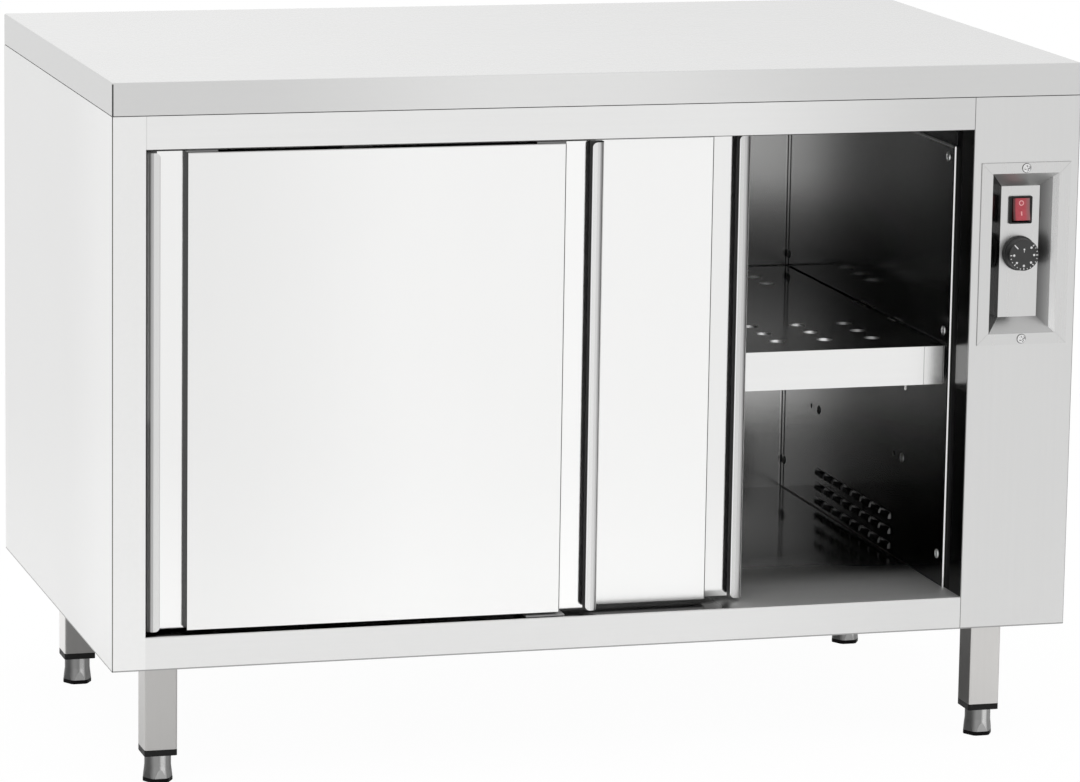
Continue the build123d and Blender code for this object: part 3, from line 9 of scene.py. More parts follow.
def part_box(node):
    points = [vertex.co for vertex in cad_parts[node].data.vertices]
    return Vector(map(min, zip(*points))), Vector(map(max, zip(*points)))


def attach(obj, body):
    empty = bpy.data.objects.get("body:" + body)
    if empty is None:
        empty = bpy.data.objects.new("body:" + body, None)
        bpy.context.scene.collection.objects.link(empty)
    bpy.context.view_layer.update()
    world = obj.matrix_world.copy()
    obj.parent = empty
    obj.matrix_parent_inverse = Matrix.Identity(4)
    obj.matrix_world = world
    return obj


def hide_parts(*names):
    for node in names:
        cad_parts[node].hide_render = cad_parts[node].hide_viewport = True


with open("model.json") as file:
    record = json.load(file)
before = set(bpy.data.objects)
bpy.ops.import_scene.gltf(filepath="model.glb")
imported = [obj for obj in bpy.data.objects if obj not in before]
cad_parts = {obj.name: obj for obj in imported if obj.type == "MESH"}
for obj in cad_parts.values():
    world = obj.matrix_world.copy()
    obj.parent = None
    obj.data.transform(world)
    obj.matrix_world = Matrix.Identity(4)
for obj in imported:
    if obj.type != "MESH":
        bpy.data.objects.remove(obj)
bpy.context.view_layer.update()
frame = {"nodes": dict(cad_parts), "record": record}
node = frame["nodes"]

# ---- Camera -----------------------------------------------------------------------------
# It stands in front of the cabinet and to its left, higher than the worktop, and looks
# slightly down at it through a long lens.
camera_place = Vector((-1.794, -6.2895, 1.636))
camera_turn, camera_dip, camera_tilt = radians(16.09), radians(10.69), radians(0.89)
look = Vector((
    sin(camera_turn) * cos(camera_dip), cos(camera_turn) * cos(camera_dip), -sin(camera_dip)))
level = look.cross(Vector((0, 0, 1))).normalized()
upright = level.cross(look)
lens = bpy.data.cameras.new("camera")
lens.sensor_width, lens.lens = 36.0, 175.59
lens.clip_start, lens.clip_end = 0.05, 60.0
camera = bpy.data.objects.new("camera", lens)
bpy.context.collection.objects.link(camera)
camera.matrix_world = Matrix.Translation(camera_place) @ Matrix((
    level * cos(camera_tilt) + upright * sin(camera_tilt),
    upright * cos(camera_tilt) - level * sin(camera_tilt),
    -look,
)).transposed().to_4x4()
bpy.context.scene.camera = camera
bpy.context.scene.view_settings.view_transform = "Standard"

# ---- Studio -----------------------------------------------------------------------------
# A white room with a pale round floor. Metal sees soft grey flats low down at both sides,
# and the floor keeps the cabinet's shadow. Lamps light the paint and the plastics.


class Wire:
    """One output of a shader node. Arithmetic on it adds Math nodes to its tree."""

    def __init__(self, tree, socket=None):
        self.tree, self.socket = tree, socket

    def node(self, kind, settings, sockets, out=0):
        """Adds a node: its settings first, then its sockets' values or links."""
        new = self.tree.nodes.new(kind)
        for name, value in settings.items():
            setattr(new, name, value)
        for name, value in sockets.items():
            self.feed(new.inputs[name], value)
        return Wire(self.tree, new.outputs[out])

    def feed(self, socket, value):
        if isinstance(value, Wire):
            self.tree.links.new(value.socket, socket)
        else:
            socket.default_value = value

    def math(self, operation, *values):
        return self.node("ShaderNodeMath", {"operation": operation}, dict(enumerate(values)))

    def __add__(self, other):
        return self.math("ADD", self, other)

    def __sub__(self, other):
        return self.math("SUBTRACT", self, other)

    def __mul__(self, other):
        return self.math("MULTIPLY", self, other)

    def __rsub__(self, other):
        return self.math("SUBTRACT", other, self)

    def __gt__(self, other):
        return self.math("GREATER_THAN", self, other)

    def __lt__(self, other):
        return self.math("LESS_THAN", self, other)

    def __abs__(self):
        return self.math("ABSOLUTE", self)

    __radd__ = __add__
    __rmul__ = __mul__

    def rise(self, low, high):
        """0 below low, 1 above high, and a smooth rise between."""
        return self.node("ShaderNodeMapRange", {"interpolation_type": "SMOOTHSTEP"},
                         {0: self, 1: low, 2: high})

    def fall(self, low, high):
        """1 below low, 0 above high, and a smooth fall between."""
        return 1 - self.rise(low, high)

    def part(self, index):
        """One component of a vector."""
        return self.node("ShaderNodeSeparateXYZ", {}, {0: self}, out=index)

    x = property(lambda self: self.part(0))
    y = property(lambda self: self.part(1))
    z = property(lambda self: self.part(2))

    def blend(self, low, high):
        """A colour between two, by this wire."""
        return self.node("ShaderNodeMix", {"data_type": "RGBA"}, {0: self, 6: low, 7: high}, out=2)


def grey(value):
    return (value, value, value, 1.0)


def seen_rays(wires, glossy):
    """1 for rays of the camera and through glass, and a share for rays off metal."""
    path = "ShaderNodeLightPath"
    straight = wires.node(path, {}, {}, out="Is Camera Ray")
    through = wires.node(path, {}, {}, out="Is Transmission Ray")
    off_metal = wires.node(path, {}, {}, out="Is Glossy Ray")
    return straight.math("MAXIMUM", straight.math("MAXIMUM", straight, through), off_metal * glossy)


world = bpy.data.worlds.new("studio")
world.use_nodes = True
bpy.context.scene.world = world
air = Wire(world.node_tree)
heading = air.node("ShaderNodeTexCoord", {}, {}, out="Generated")
WHITE, FLAT_GREY, LAMPLIT_GREY = grey(1.0), grey(0.42), grey(0.62)
flats = abs(heading.x).rise(0.62, 0.9) * heading.z.fall(0.05, 0.45)
off_metal = air.node("ShaderNodeLightPath", {}, {}, out="Is Glossy Ray")
room = (flats * off_metal).blend(WHITE, FLAT_GREY)
backdrop = world.node_tree.nodes["Background"]
air.feed(backdrop.inputs["Color"], seen_rays(air, 1.0).blend(LAMPLIT_GREY, room))

FLOOR_RADIUS, FADE_START, FLOOR_GLOW, FLOOR_IN_METAL = 2.4, 1.1, 0.97, 0.35
disc = bmesh.new()
bmesh.ops.create_circle(disc, cap_ends=True, radius=FLOOR_RADIUS, segments=96)
floor_mesh = bpy.data.meshes.new("studio_floor")
disc.to_mesh(floor_mesh)
disc.free()
studio_floor = bpy.data.objects.new("studio_floor", floor_mesh)
bpy.context.collection.objects.link(studio_floor)
floor_paint = bpy.data.materials.new("studio_floor")
floor_paint.use_nodes = True
ground = Wire(floor_paint.node_tree)
lit = floor_paint.node_tree.nodes["Principled BSDF"]
lit.inputs["Base Color"].default_value = grey(0.9)
lit.inputs["Roughness"].default_value = 0.9
lit.inputs["Specular IOR Level"].default_value = 0.0
spot = ground.node("ShaderNodeTexCoord", {}, {}, out="Object")
away = spot.node("ShaderNodeVectorMath", {"operation": "LENGTH"}, {0: spot}, out="Value")
fade = away.rise(FADE_START, FLOOR_RADIUS)
glow = ground.node("ShaderNodeEmission", {}, {"Color": WHITE, "Strength": 1.0})
share = seen_rays(ground, FLOOR_IN_METAL) * FLOOR_GLOW
mixed = ground.node("ShaderNodeMixShader", {}, {
    0: share + (1 - share) * fade, 1: Wire(floor_paint.node_tree, lit.outputs[0]), 2: glow})
ground.feed(floor_paint.node_tree.nodes["Material Output"].inputs["Surface"], mixed)
floor_mesh.materials.append(floor_paint)

cabinet_middle = Vector((0, 0, 0.45))
for lamp_name, lamp_place, lamp_width, lamp_watts in (
    ("softbox_left", (-2.6, -2.4, 2.9), 2.2, 60.0),
    ("softbox_right", (2.8, -2.6, 2.6), 2.0, 42.0),
    ("softbox_top", (0.2, 0.4, 3.4), 2.6, 48.0),
    ("softbox_back", (-1.0, 3.2, 2.2), 2.0, 26.0),
):
    lamp = bpy.data.lights.new(lamp_name, "AREA")
    lamp.shape, lamp.size, lamp.energy = "SQUARE", lamp_width, lamp_watts
    holder = bpy.data.objects.new(lamp_name, lamp)
    bpy.context.collection.objects.link(holder)
    holder.location = lamp_place
    aim = cabinet_middle - Vector(lamp_place)
    holder.rotation_euler = aim.to_track_quat("-Z", "Y").to_euler()
    holder.visible_glossy = False

# ---- Casing -----------------------------------------------------------------------------
# The worktop, sides, back and rail are satin stainless sheet, folded on a brake and
# spot-welded, with brushing along each sheet. The underside and the stiffeners under the
# worktop are zinc-coated sheet.


def surface(name):
    """A new material, its Principled shader, and where and which way its surface lies."""
    made = bpy.data.materials.new(name)
    made.use_nodes = True
    start = Wire(made.node_tree)
    where = start.node("ShaderNodeTexCoord", {}, {}, out="Object")
    facing = start.node("ShaderNodeTexCoord", {}, {}, out="Normal")
    return made, made.node_tree.nodes["Principled BSDF"], where, facing


def speckle(where, size, stretch=(1, 1, 1), detail=3.0):
    """Noise whose blobs are about `size` metres, longer along the axes that stretch names."""
    scale = tuple(1 / (size * longer) for longer in stretch)
    spread = where.node("ShaderNodeVectorMath", {"operation": "MULTIPLY"}, {0: where, 1: scale})
    return where.node("ShaderNodeTexNoise", {}, {"Vector": spread, "Scale": 1.0, "Detail": detail})


def dent(where, height, distance, strength=1.0):
    """A bump for the shader's Normal socket."""
    return where.node("ShaderNodeBump", {}, {
        "Strength": strength, "Distance": distance, "Height": height})


HAIR_SIZE, HAIR_DEPTH, BAND_SIZE, HAZE_SIZE, BRUSH_STRETCH = 0.0005, 0.000008, 0.006, 0.16, 60


def steel(name, tone, roughness, along, zones=(),
          tint=(1.0, 1.0, 0.994), streak=0.035, cloud=0.02, edge=1.0):
    """Stainless sheet with brushing along an axis. Each zone (mask, tone, roughness) has a
    mask made from the place and the facing, and lies over the ones before it. The edge
    value dims the sheen that metal has at a flat angle."""
    made, shader, where, facing = surface(name)
    stretch = tuple(BRUSH_STRETCH if axis == along else 1 for axis in "XYZ")
    hair = speckle(where, HAIR_SIZE, stretch)
    band = speckle(where, BAND_SIZE, stretch, 2.0)
    haze = speckle(where, HAZE_SIZE, detail=2.0)
    for mask, zone_tone, zone_roughness in zones:
        here = mask(where, facing)
        tone = (1 - here) * tone + here * zone_tone
        roughness = (1 - here) * roughness + here * zone_roughness
    shade = 1 + (hair - 0.5) * streak + (band - 0.5) * streak + (haze - 0.5) * cloud
    colour = where.node("ShaderNodeVectorMath", {"operation": "SCALE"}, {
        0: tint, "Scale": shade * tone})
    where.feed(shader.inputs["Base Color"], colour)
    where.feed(shader.inputs["Roughness"], roughness * (0.9 + 0.2 * band))
    shader.inputs["Metallic"].default_value = 1.0
    shader.inputs["Specular Tint"].default_value = grey(edge)
    where.feed(shader.inputs["Normal"], dent(where, hair, HAIR_DEPTH))
    return made


# How far a face has to look one way to count as that side. STRICT_FRONT leaves the bends
# beside the front out, and LOOSE_FRONT takes them in.
SQUARE, SIDE, FRONT, STRICT_FRONT, LOOSE_FRONT = 0.8, 0.7, -0.7, -0.9, -0.5


def bent(where, facing):
    """The narrow curved faces along the upright and the lower bends."""
    flattest = facing.math("MAXIMUM", abs(facing.x), abs(facing.y))
    curved = facing.math("MAXIMUM", flattest, abs(facing.z)).fall(0.90, 0.99)
    return curved * (facing.z < 0.2)


def dress(made, *names):
    """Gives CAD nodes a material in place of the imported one."""
    for name in names:
        for place in node[name].material_slots:
            place.material = made


opening_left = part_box("top_front_rail")[0].x
opening_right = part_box("top_front_rail")[1].x
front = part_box("top_front_rail")[0].y
wall_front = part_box("right_inner_wall")[0].y
shelf_low, shelf_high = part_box("shelf")
opening_middle = (opening_left + opening_right) / 2
opening_half = (opening_right - opening_left) / 2
SHEET_SKIN, SEAM_WIDTH, BEND_HEIGHT = 0.0015, 0.0012, 0.0016


def inside_jamb(where, facing):
    """The faces of both jambs, behind the front sheet and beside the doors."""
    return (abs(facing.x) > SIDE) * (where.y > front + SHEET_SKIN) * (
        abs(where.x - opening_middle) < opening_half + SHEET_SKIN)


def column_front(where, facing):
    """The front of the control column, beside the right jamb."""
    return (facing.y < FRONT) * (where.x > opening_right - 0.001)


def rail_shade(where):
    """Painted shade: both rails grow darker from the middle towards the column."""
    return where.x.rise(0.12, 0.44)


body_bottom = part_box("left_side_panel")[0].z
deep_jamb_shade_from = front + 0.72 * (wall_front - front)
# Painted light and shade on the casing: darker bends and lower edges, the worktop's top lighter and
# darker towards its right end, its front lighter in the middle, the rails darker towards the
# column, the side paler near the front, and the stile's front lighter.
painted_fold_shade, painted_column_fold_shade = (bent, 0.10, 0.34), (bent, 0.34, 0.34)
low_bend_painted_shade = (lambda at, face: at.z < body_bottom + BEND_HEIGHT, 0.34, 0.34)
top_painted_light = (lambda at, face: face.z > SQUARE, 0.78, 0.27)
top_end_painted_shade = (lambda at, face: (face.z > SQUARE) * at.x.rise(-0.6, 0.7), 0.68, 0.27)
top_front_painted_light = (lambda at, face: (face.y < FRONT) * abs(at.x + 0.05).fall(0.05, 0.42), 0.75, 0.30)
rail_end_painted_shade = (lambda at, face: rail_shade(at), 0.64, 0.30)
rail_seam = (
    lambda at, face: (face.y < STRICT_FRONT) * (at.x < opening_left + SEAM_WIDTH), 0.68, 0.30)
side_front_painted_light = (lambda at, face: (face.x < -SIDE) * at.y.fall(front, front + 0.3), 0.83, 0.30)
stile_painted_light = (lambda at, face: face.y < FRONT, 0.81, 0.30)
# Painted shade on the jambs, darker below the shelf and darkest deep inside.
jamb_painted_shades = [
    (inside_jamb, 0.34, 0.22),
    (lambda at, face: inside_jamb(at, face) * (at.z < shelf_low.z), 0.16, 0.22),
    (lambda at, face: inside_jamb(at, face) * (at.y > deep_jamb_shade_from), 0.05, 0.30),
]
dress(steel("worktop_steel", 0.63, 0.30, "X", [top_painted_light, top_end_painted_shade, top_front_painted_light, painted_fold_shade], streak=0.03),
      "worktop")
dress(steel("side_steel", 0.76, 0.30, "Y", [side_front_painted_light, stile_painted_light, low_bend_painted_shade, painted_fold_shade] + jamb_painted_shades),
      "left_side_panel")
# Painted shade on the column's front and on its bends.
dress(steel("column_steel", 0.76, 0.30, "Z", [
    (column_front, 0.655, 0.30), low_bend_painted_shade, painted_column_fold_shade] + jamb_painted_shades, edge=0.45), "right_side_panel")
dress(steel("rail_steel", 0.80, 0.30, "X", [rail_end_painted_shade, rail_seam, painted_fold_shade]), "top_front_rail")
dress(steel("back_steel", 0.77, 0.30, "X", [painted_fold_shade]), "back_panel")
dress(steel("zinc_sheet", 0.45, 0.42, "X", streak=0.08, cloud=0.16),
      "underside_panel", "worktop_stiffeners")

# ---- Warm chamber -----------------------------------------------------------------------
# Its floor, walls and ceiling are bright-rolled stainless sheet, which mirrors the room. The
# floor's front edge is folded down as the bottom rail.
CORNER_LINE = 0.0020
chamber_left, chamber_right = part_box("left_inner_wall")[1].x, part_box("right_inner_wall")[0].x
chamber_middle = (chamber_left + chamber_right) / 2
chamber_half = (chamber_right - chamber_left) / 2
line_from_middle = chamber_half - CORNER_LINE


def corner_painted_shade_line(where, facing):
    """Painted shade: a dark line on the back wall beside each corner, which the side wall mirrors.
    """
    out = abs(abs(where.x - chamber_middle) - line_from_middle)
    return (facing.y < LOOSE_FRONT) * out.fall(0.0004, 0.0012)


floor_level, ceiling_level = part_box("cabinet_floor")[1].z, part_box("right_inner_wall")[1].z
shelf_level = shelf_high.z
HEM_SHINE, HEM_DEPTH, HEM_REACH, SHADE_HEIGHT = 0.0017, 0.004, 0.02, 0.13


def over_shelf_painted_shade(where, facing):
    """Painted shade: the darker lower part of the walls above the shelf."""
    height = where.z
    return (height > shelf_level) * height.fall(shelf_level, shelf_level + SHADE_HEIGHT)


def off_wall(where):
    """How far a place lies beyond the chamber's side walls."""
    return abs(where.x - chamber_middle) - chamber_half


def hem_face(where, facing):
    """The front of the folded edges of the side walls."""
    return (facing.y < LOOSE_FRONT) * (where.y < wall_front + HEM_DEPTH)


def hem_painted_highlight(where, facing):
    """Painted highlight: the bright line along the hem, next to the chamber."""
    return hem_face(where, facing) * (off_wall(where) < HEM_SHINE)


def hem_painted_shade(where, facing):
    """Painted shade on the hem's parts beyond its bright line."""
    return (where.y < wall_front + HEM_REACH) * (off_wall(where) > HEM_SHINE)


def near_wall_painted_light(where, facing):
    """Painted light: the paler nearer part of the walls, which fades out towards the floor."""
    return where.y.fall(front + 0.12, front + 0.5) \
        * where.z.rise(floor_level + 0.05, shelf_level - 0.06)


def wall_over_shelf(where, facing):
    """The shade over the shelf, weaker near the doors."""
    return over_shelf_painted_shade(where, facing) * (0.4 + 0.6 * where.y.rise(front + 0.1, front + 0.4))


def low_wall_painted_shade(where, facing):
    """Painted shade: the dark foot of the walls, which fades out towards the back."""
    return (where.z < shelf_level) * where.z.fall(floor_level + 0.03, floor_level + 0.11) \
        * where.y.fall(front + 0.38, front + 0.52)


# Painted shade over the shelf, painted light below it, and a painted shade line by each corner.
dress(steel("back_lining_steel", 0.66, 0.20, "Z", [
    (over_shelf_painted_shade, 0.30, 0.20), (lambda at, face: at.z < shelf_level, 0.98, 0.20),
    (corner_painted_shade_line, 0.05, 0.3)], streak=0.02, cloud=0.05), "back_inner_wall")
# Painted shade on the ceiling's front face.
dress(steel("ceiling_steel", 0.40, 0.20, "X", [
    (lambda at, face: face.y < FRONT, 0.05, 0.4)], streak=0.02), "ceiling_panel")
# The broad painted light and shades, then the walls' upper edge as a painted highlight, their
# lower and front edges as painted shade, then the hem's painted shade and highlight.
wall_zones = [
    (near_wall_painted_light, 0.82, 0.22), (wall_over_shelf, 0.20, 0.07), (low_wall_painted_shade, 0.08, 0.14),
    (lambda at, face: at.z > ceiling_level - 0.0025, 0.95, 0.5),
    (lambda at, face: at.z < floor_level + 0.0018, 0.03, 0.3),
    (lambda at, face: at.y < wall_front + 0.006, 0.02, 0.3),
    (hem_face, 0.03, 0.3), (hem_painted_highlight, 0.85, 0.25), (hem_painted_shade, 0.02, 0.3),
]
dress(steel("wall_lining_steel", 0.41, 0.12, "Z", wall_zones, streak=0.02, cloud=0.05),
      "left_inner_wall", "right_inner_wall")
rear_door_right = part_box("rear_door_right_grip")[1].x


def beside_right_wall(where, facing):
    """The floor's shade along the right wall, behind the doors."""
    return (facing.z > SQUARE) * where.x.rise(chamber_right - 0.13, chamber_right - 0.02) \
        * where.y.rise(front + 0.14, front + 0.26)


def under_doors(where, facing):
    """The floor's shade under the doors, as they stand at rest."""
    shade = (facing.z > SQUARE) * where.x.fall(rear_door_right - 0.05, rear_door_right) \
        * where.y.fall(front + 0.06, front + 0.10)
    return shade * (where.y > front + 0.003)


# The rail's painted shade and its lower bend's painted shade, the floor itself in a dark painted
# shade, its pale part behind the doors as painted light, its painted shades and darker bends.
dress(steel("floor_steel", 0.75, 0.30, "X", [
    (lambda at, face: (face.y < FRONT) * rail_shade(at), 0.69, 0.30), low_bend_painted_shade,
    (lambda at, face: face.z > SQUARE, 0.15, 0.08),
    (lambda at, face: (face.z > SQUARE) * at.y.fall(front + 0.10, front + 0.29), 0.97, 0.58),
    (beside_right_wall, 0.09, 0.12), (under_doors, 0.09, 0.16), painted_fold_shade,
], edge=0.50), "cabinet_floor")

# ---- Insulation -------------------------------------------------------------------------
# Boards of yellow-grey mineral wool, cut to size and laid in the left wall and over the
# ceiling.
wool, wool_shader, wool_place, _ = surface("mineral_wool")
fibres = speckle(wool_place, 0.0025, (4, 4, 1))
wool_place.feed(wool_shader.inputs["Base Color"], fibres.blend(
    (0.42, 0.36, 0.19, 1.0), (0.70, 0.63, 0.40, 1.0)))
wool_shader.inputs["Roughness"].default_value = 0.95
wool_place.feed(wool_shader.inputs["Normal"], dent(wool_place, fibres, 0.0012))
dress(wool, "side_insulation", "ceiling_insulation")

# ---- Screws -----------------------------------------------------------------------------
# Pan-head screws with a cross recess hold the inner walls and the control recess. They are
# pressed steel with a bright zinc coat.


MERGE_REACH = 1e-6


def islands(name):
    """The box of each separate solid in a CAD node."""
    body = bmesh.new()
    body.from_mesh(node[name].data)
    bmesh.ops.remove_doubles(body, verts=body.verts, dist=MERGE_REACH)
    boxes, left = [], set(body.verts)
    while left:
        solid, rim = set(), {left.pop()}
        while rim:
            solid |= rim
            rim = {link.other_vert(corner) for corner in rim for link in corner.link_edges} - solid
        left -= solid
        boxes.append(tuple(
            Vector(end(corner.co[i] for corner in solid) for i in range(3)) for end in (min, max)))
    body.free()
    return sorted(boxes, key=lambda box: tuple(box[0]))


def smooth_piece(name, build, made, body):
    """Turns a filled bmesh into a named piece that rides on a body."""
    bmesh.ops.recalc_face_normals(build, faces=build.faces)
    for face in build.faces:
        face.smooth = True
    mesh = bpy.data.meshes.new(name)
    build.to_mesh(mesh)
    build.free()
    mesh.materials.append(made)
    mesh.set_sharp_from_angle(angle=radians(38))
    piece = bpy.data.objects.new(name, mesh)
    bpy.context.collection.objects.link(piece)
    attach(piece, body)
    return piece


def turned(build, profile, seat, segments=32):
    """Lathes a profile of (radius, height) pairs round the Z axis of a seat matrix."""
    rings = []
    for radius, height in profile:
        if radius == 0:
            rings.append([build.verts.new(seat @ Vector((0, 0, height)))])
        else:
            rings.append([build.verts.new(seat @ Vector((
                radius * cos(2 * pi * i / segments), radius * sin(2 * pi * i / segments), height)))
                for i in range(segments)])
    for low, high in zip(rings, rings[1:]):
        for i in range(segments):
            j = (i + 1) % segments
            corners = [
                low[i % len(low)], low[j % len(low)], high[j % len(high)], high[i % len(high)]]
            build.faces.new(dict.fromkeys(corners))
    return rings


HEAD_RADIUS, HEAD_HEIGHT, SHANK_RADIUS = 0.006, 0.002, 0.00199
DOME_POWER, DOME_ROOT = 2.6, 0.55
CROSS_REACH, CROSS_HALF, CROSS_DEPTH, CROSS_TAPER = 0.0036, 0.0010, 0.0014, 0.55


def screw_head(build, seat, turn, shank_length):
    """A domed head with a cross recess, on a shank that goes down from the seat."""
    rings, segments = 14, 48
    loops = []
    for ring in range(rings + 1):
        radius = HEAD_RADIUS * (1 - ring / rings) if ring < rings else 0.0
        loop = []
        for i in range(segments if ring < rings else 1):
            angle = 2 * pi * i / segments
            x, y = radius * cos(angle), radius * sin(angle)
            height = HEAD_HEIGHT * (1 - (radius / HEAD_RADIUS) ** DOME_POWER) ** DOME_ROOT
            along, across = max(abs(x), abs(y)), min(abs(x), abs(y))
            if along < CROSS_REACH and across < CROSS_HALF:
                height -= CROSS_DEPTH * (1 - CROSS_TAPER * along / CROSS_REACH)
            spin = Matrix.Rotation(turn, 4, "Z") @ Vector((x, y, height))
            loop.append(build.verts.new(seat @ spin))
        loops.append(loop)
    for low, high in zip(loops, loops[1:]):
        for i in range(segments):
            j = (i + 1) % segments
            corners = [low[i], low[j], high[j % len(high)], high[i % len(high)]]
            build.faces.new(dict.fromkeys(corners))
    base = loops[0]
    stem = [[build.verts.new(seat @ Vector((
        SHANK_RADIUS * cos(2 * pi * i / segments), SHANK_RADIUS * sin(2 * pi * i / segments), z)))
        for i in range(segments)] for z in (0.0, -shank_length)]
    for low, high in ((base, stem[0]), stem):
        for i in range(segments):
            j = (i + 1) % segments
            build.faces.new((low[i], high[i], high[j], low[j]))
    build.faces.new(stem[1])


PAINTED_SHADE_ZINC = grey(0.42)


def bright_zinc(name, axis=None, roughness=0.16, dullest=0.62, brightest=0.90, shade_from=None):
    """Zinc plate. Faces that turn away from the axis, as in a recess, get painted shade, and so
    do the screws that sit further back than a given place."""
    made, shader, where, facing = surface(name)
    smudge = speckle(where, 0.0015)
    colour = smudge.blend(grey(dullest), grey(brightest))
    # Painted shade on faces in the recess and on the screws further back.
    if axis is not None:
        colour = abs(facing.part(axis)).rise(0.60, 0.93).blend(grey(0.05), colour)
    if shade_from is not None:
        colour = where.y.rise(shade_from, shade_from + 0.03).blend(colour, PAINTED_SHADE_ZINC)
    where.feed(shader.inputs["Base Color"], colour)
    where.feed(shader.inputs["Roughness"], roughness + 0.16 * smudge)
    shader.inputs["Metallic"].default_value = 1.0
    return made


# Each head is turned on from the one before it, so that no two crosses stand alike.
WALL_TURN, WALL_TURN_STEP, RIM_TURN, RIM_TURN_STEP = 0.7, 1.9, 0.5, 1.3
wall_heads = bmesh.new()
for count, (low, high) in enumerate(islands("wall_screws")):
    inward = 1 if low.x < chamber_middle else -1
    seat_x = (high.x if inward > 0 else low.x) - inward * HEAD_HEIGHT
    seat = Matrix.Translation((seat_x, (low.y + high.y) / 2, (low.z + high.z) / 2)) \
        @ Matrix.Rotation(inward * pi / 2, 4, "Y")
    turn = WALL_TURN + WALL_TURN_STEP * count
    screw_head(wall_heads, seat, turn, high.x - low.x - HEAD_HEIGHT)
wall_zinc = bright_zinc("wall_zinc", None, 0.30, 0.78, 1.0, shade_from=front + 0.10)
wall_screw_heads = smooth_piece(
    "wall_screw_heads", wall_heads, wall_zinc, "cabinet")
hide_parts("wall_screws")

rim_heads = bmesh.new()
for count, (low, high) in enumerate(islands("recess_screws")):
    seat = Matrix.Translation(((low.x + high.x) / 2, low.y + HEAD_HEIGHT, (low.z + high.z) / 2)) \
        @ Matrix.Rotation(pi / 2, 4, "X")
    turn = RIM_TURN + RIM_TURN_STEP * count
    screw_head(rim_heads, seat, turn, high.y - low.y - HEAD_HEIGHT)
recess_screw_heads = smooth_piece(
    "recess_screw_heads", rim_heads, bright_zinc("rim_zinc", 1), "cabinet")
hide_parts("recess_screws")

# ---- Shelf ------------------------------------------------------------------------------
# A perforated tray of stainless sheet, folded down all round. It lies on four clips that
# hook into peg holes in the inner walls. Each round hole has a drawn collar.
shelf_seam = shelf_high.x - 0.027
SHELF_EDGE, GLINT, FAINT_GLINT = 0.0035, (0.190, 0.014), (0.310, 0.026)


def shelf_glints(where, facing):
    """The two bright places on the shelf's right edge, each a middle and a half length."""
    (near, near_half), (far, far_half) = GLINT, FAINT_GLINT
    lit = (abs(where.y - shelf_low.y - near) < near_half) \
        + 0.4 * (abs(where.y - shelf_low.y - far) < far_half)
    return (where.x > shelf_high.x - SHELF_EDGE) * (facing.z > 0.2) * lit


# Painted shade under the shelf and on its top, painted light on the top's front part, the seam's
# line on the front, and painted glints on the right edge.
dress(steel("shelf_steel", 0.82, 0.24, "X", [
    (lambda at, face: face.z < -SQUARE, 0.30, 0.30),
    (lambda at, face: face.z > SQUARE, 0.14, 0.08),
    (lambda at, face: (face.z > SQUARE) * at.y.fall(shelf_low.y, shelf_low.y + 0.24), 0.34, 0.20),
    (lambda at, face: (abs(at.x - shelf_seam) < SEAM_WIDTH / 2) * (face.y < -SQUARE), 0.55, 0.24),
    (shelf_glints, 1.0, 0.6),
], edge=0.7), "shelf")
HOLE_RADIUS, HOLE_PITCH_X, HOLE_PITCH_Y, HOLE_COLUMNS = 0.00997, 0.062, 0.053, 15
RIM_PROFILE = [
    (HOLE_RADIUS, 0.0), (HOLE_RADIUS - 0.0002, -0.0002), (HOLE_RADIUS - 0.0010, -0.0042),
    (HOLE_RADIUS - 0.0004, -0.0042), (HOLE_RADIUS, -0.0010), (HOLE_RADIUS, 0.0),
]
RIM_SEGMENTS, FRONT_GROUP, BACK_GROUP = 20, 0.122, 0.078
shelf_middle = (shelf_low.x + shelf_high.x) / 2
hole_rims = bmesh.new()
for row_middle in (shelf_low.y + FRONT_GROUP, shelf_high.y - BACK_GROUP):
    for row in (-1, 0, 1):
        for column in range(HOLE_COLUMNS):
            turned(hole_rims, RIM_PROFILE, Matrix.Translation((
                shelf_middle + (column - HOLE_COLUMNS // 2) * HOLE_PITCH_X,
                row_middle + row * HOLE_PITCH_Y, shelf_high.z)), RIM_SEGMENTS)
bmesh.ops.remove_doubles(hole_rims, verts=hole_rims.verts, dist=MERGE_REACH)
# Painted shade: the collars of the back rows are made duller, and so are the last ones in the
# front rows.
rim_steel, rim_shader, rim_place, _ = surface("rim_steel")
rim_mottle = speckle(rim_place, 0.003)
last_column_painted_shade = rim_place.x > shelf_middle + (HOLE_COLUMNS // 2 - 0.5) * HOLE_PITCH_X
back_rows_painted_shade = rim_place.y.rise(shelf_low.y + 0.20, shelf_low.y + 0.24)
rim_place.feed(rim_shader.inputs["Base Color"], (last_column_painted_shade * (1 - back_rows_painted_shade)).blend(
    rim_mottle.blend(grey(0.92), grey(1.0)), grey(0.42)))
rim_place.feed(rim_shader.inputs["Roughness"], 0.44 + 0.12 * rim_mottle)
rim_place.feed(rim_shader.inputs["Metallic"], 1 - 0.8 * back_rows_painted_shade)
smooth_piece("shelf_hole_rims", hole_rims, rim_steel, "shelf")
dress(steel("clip_steel", 0.55, 0.26, "Y"), "shelf_clips")

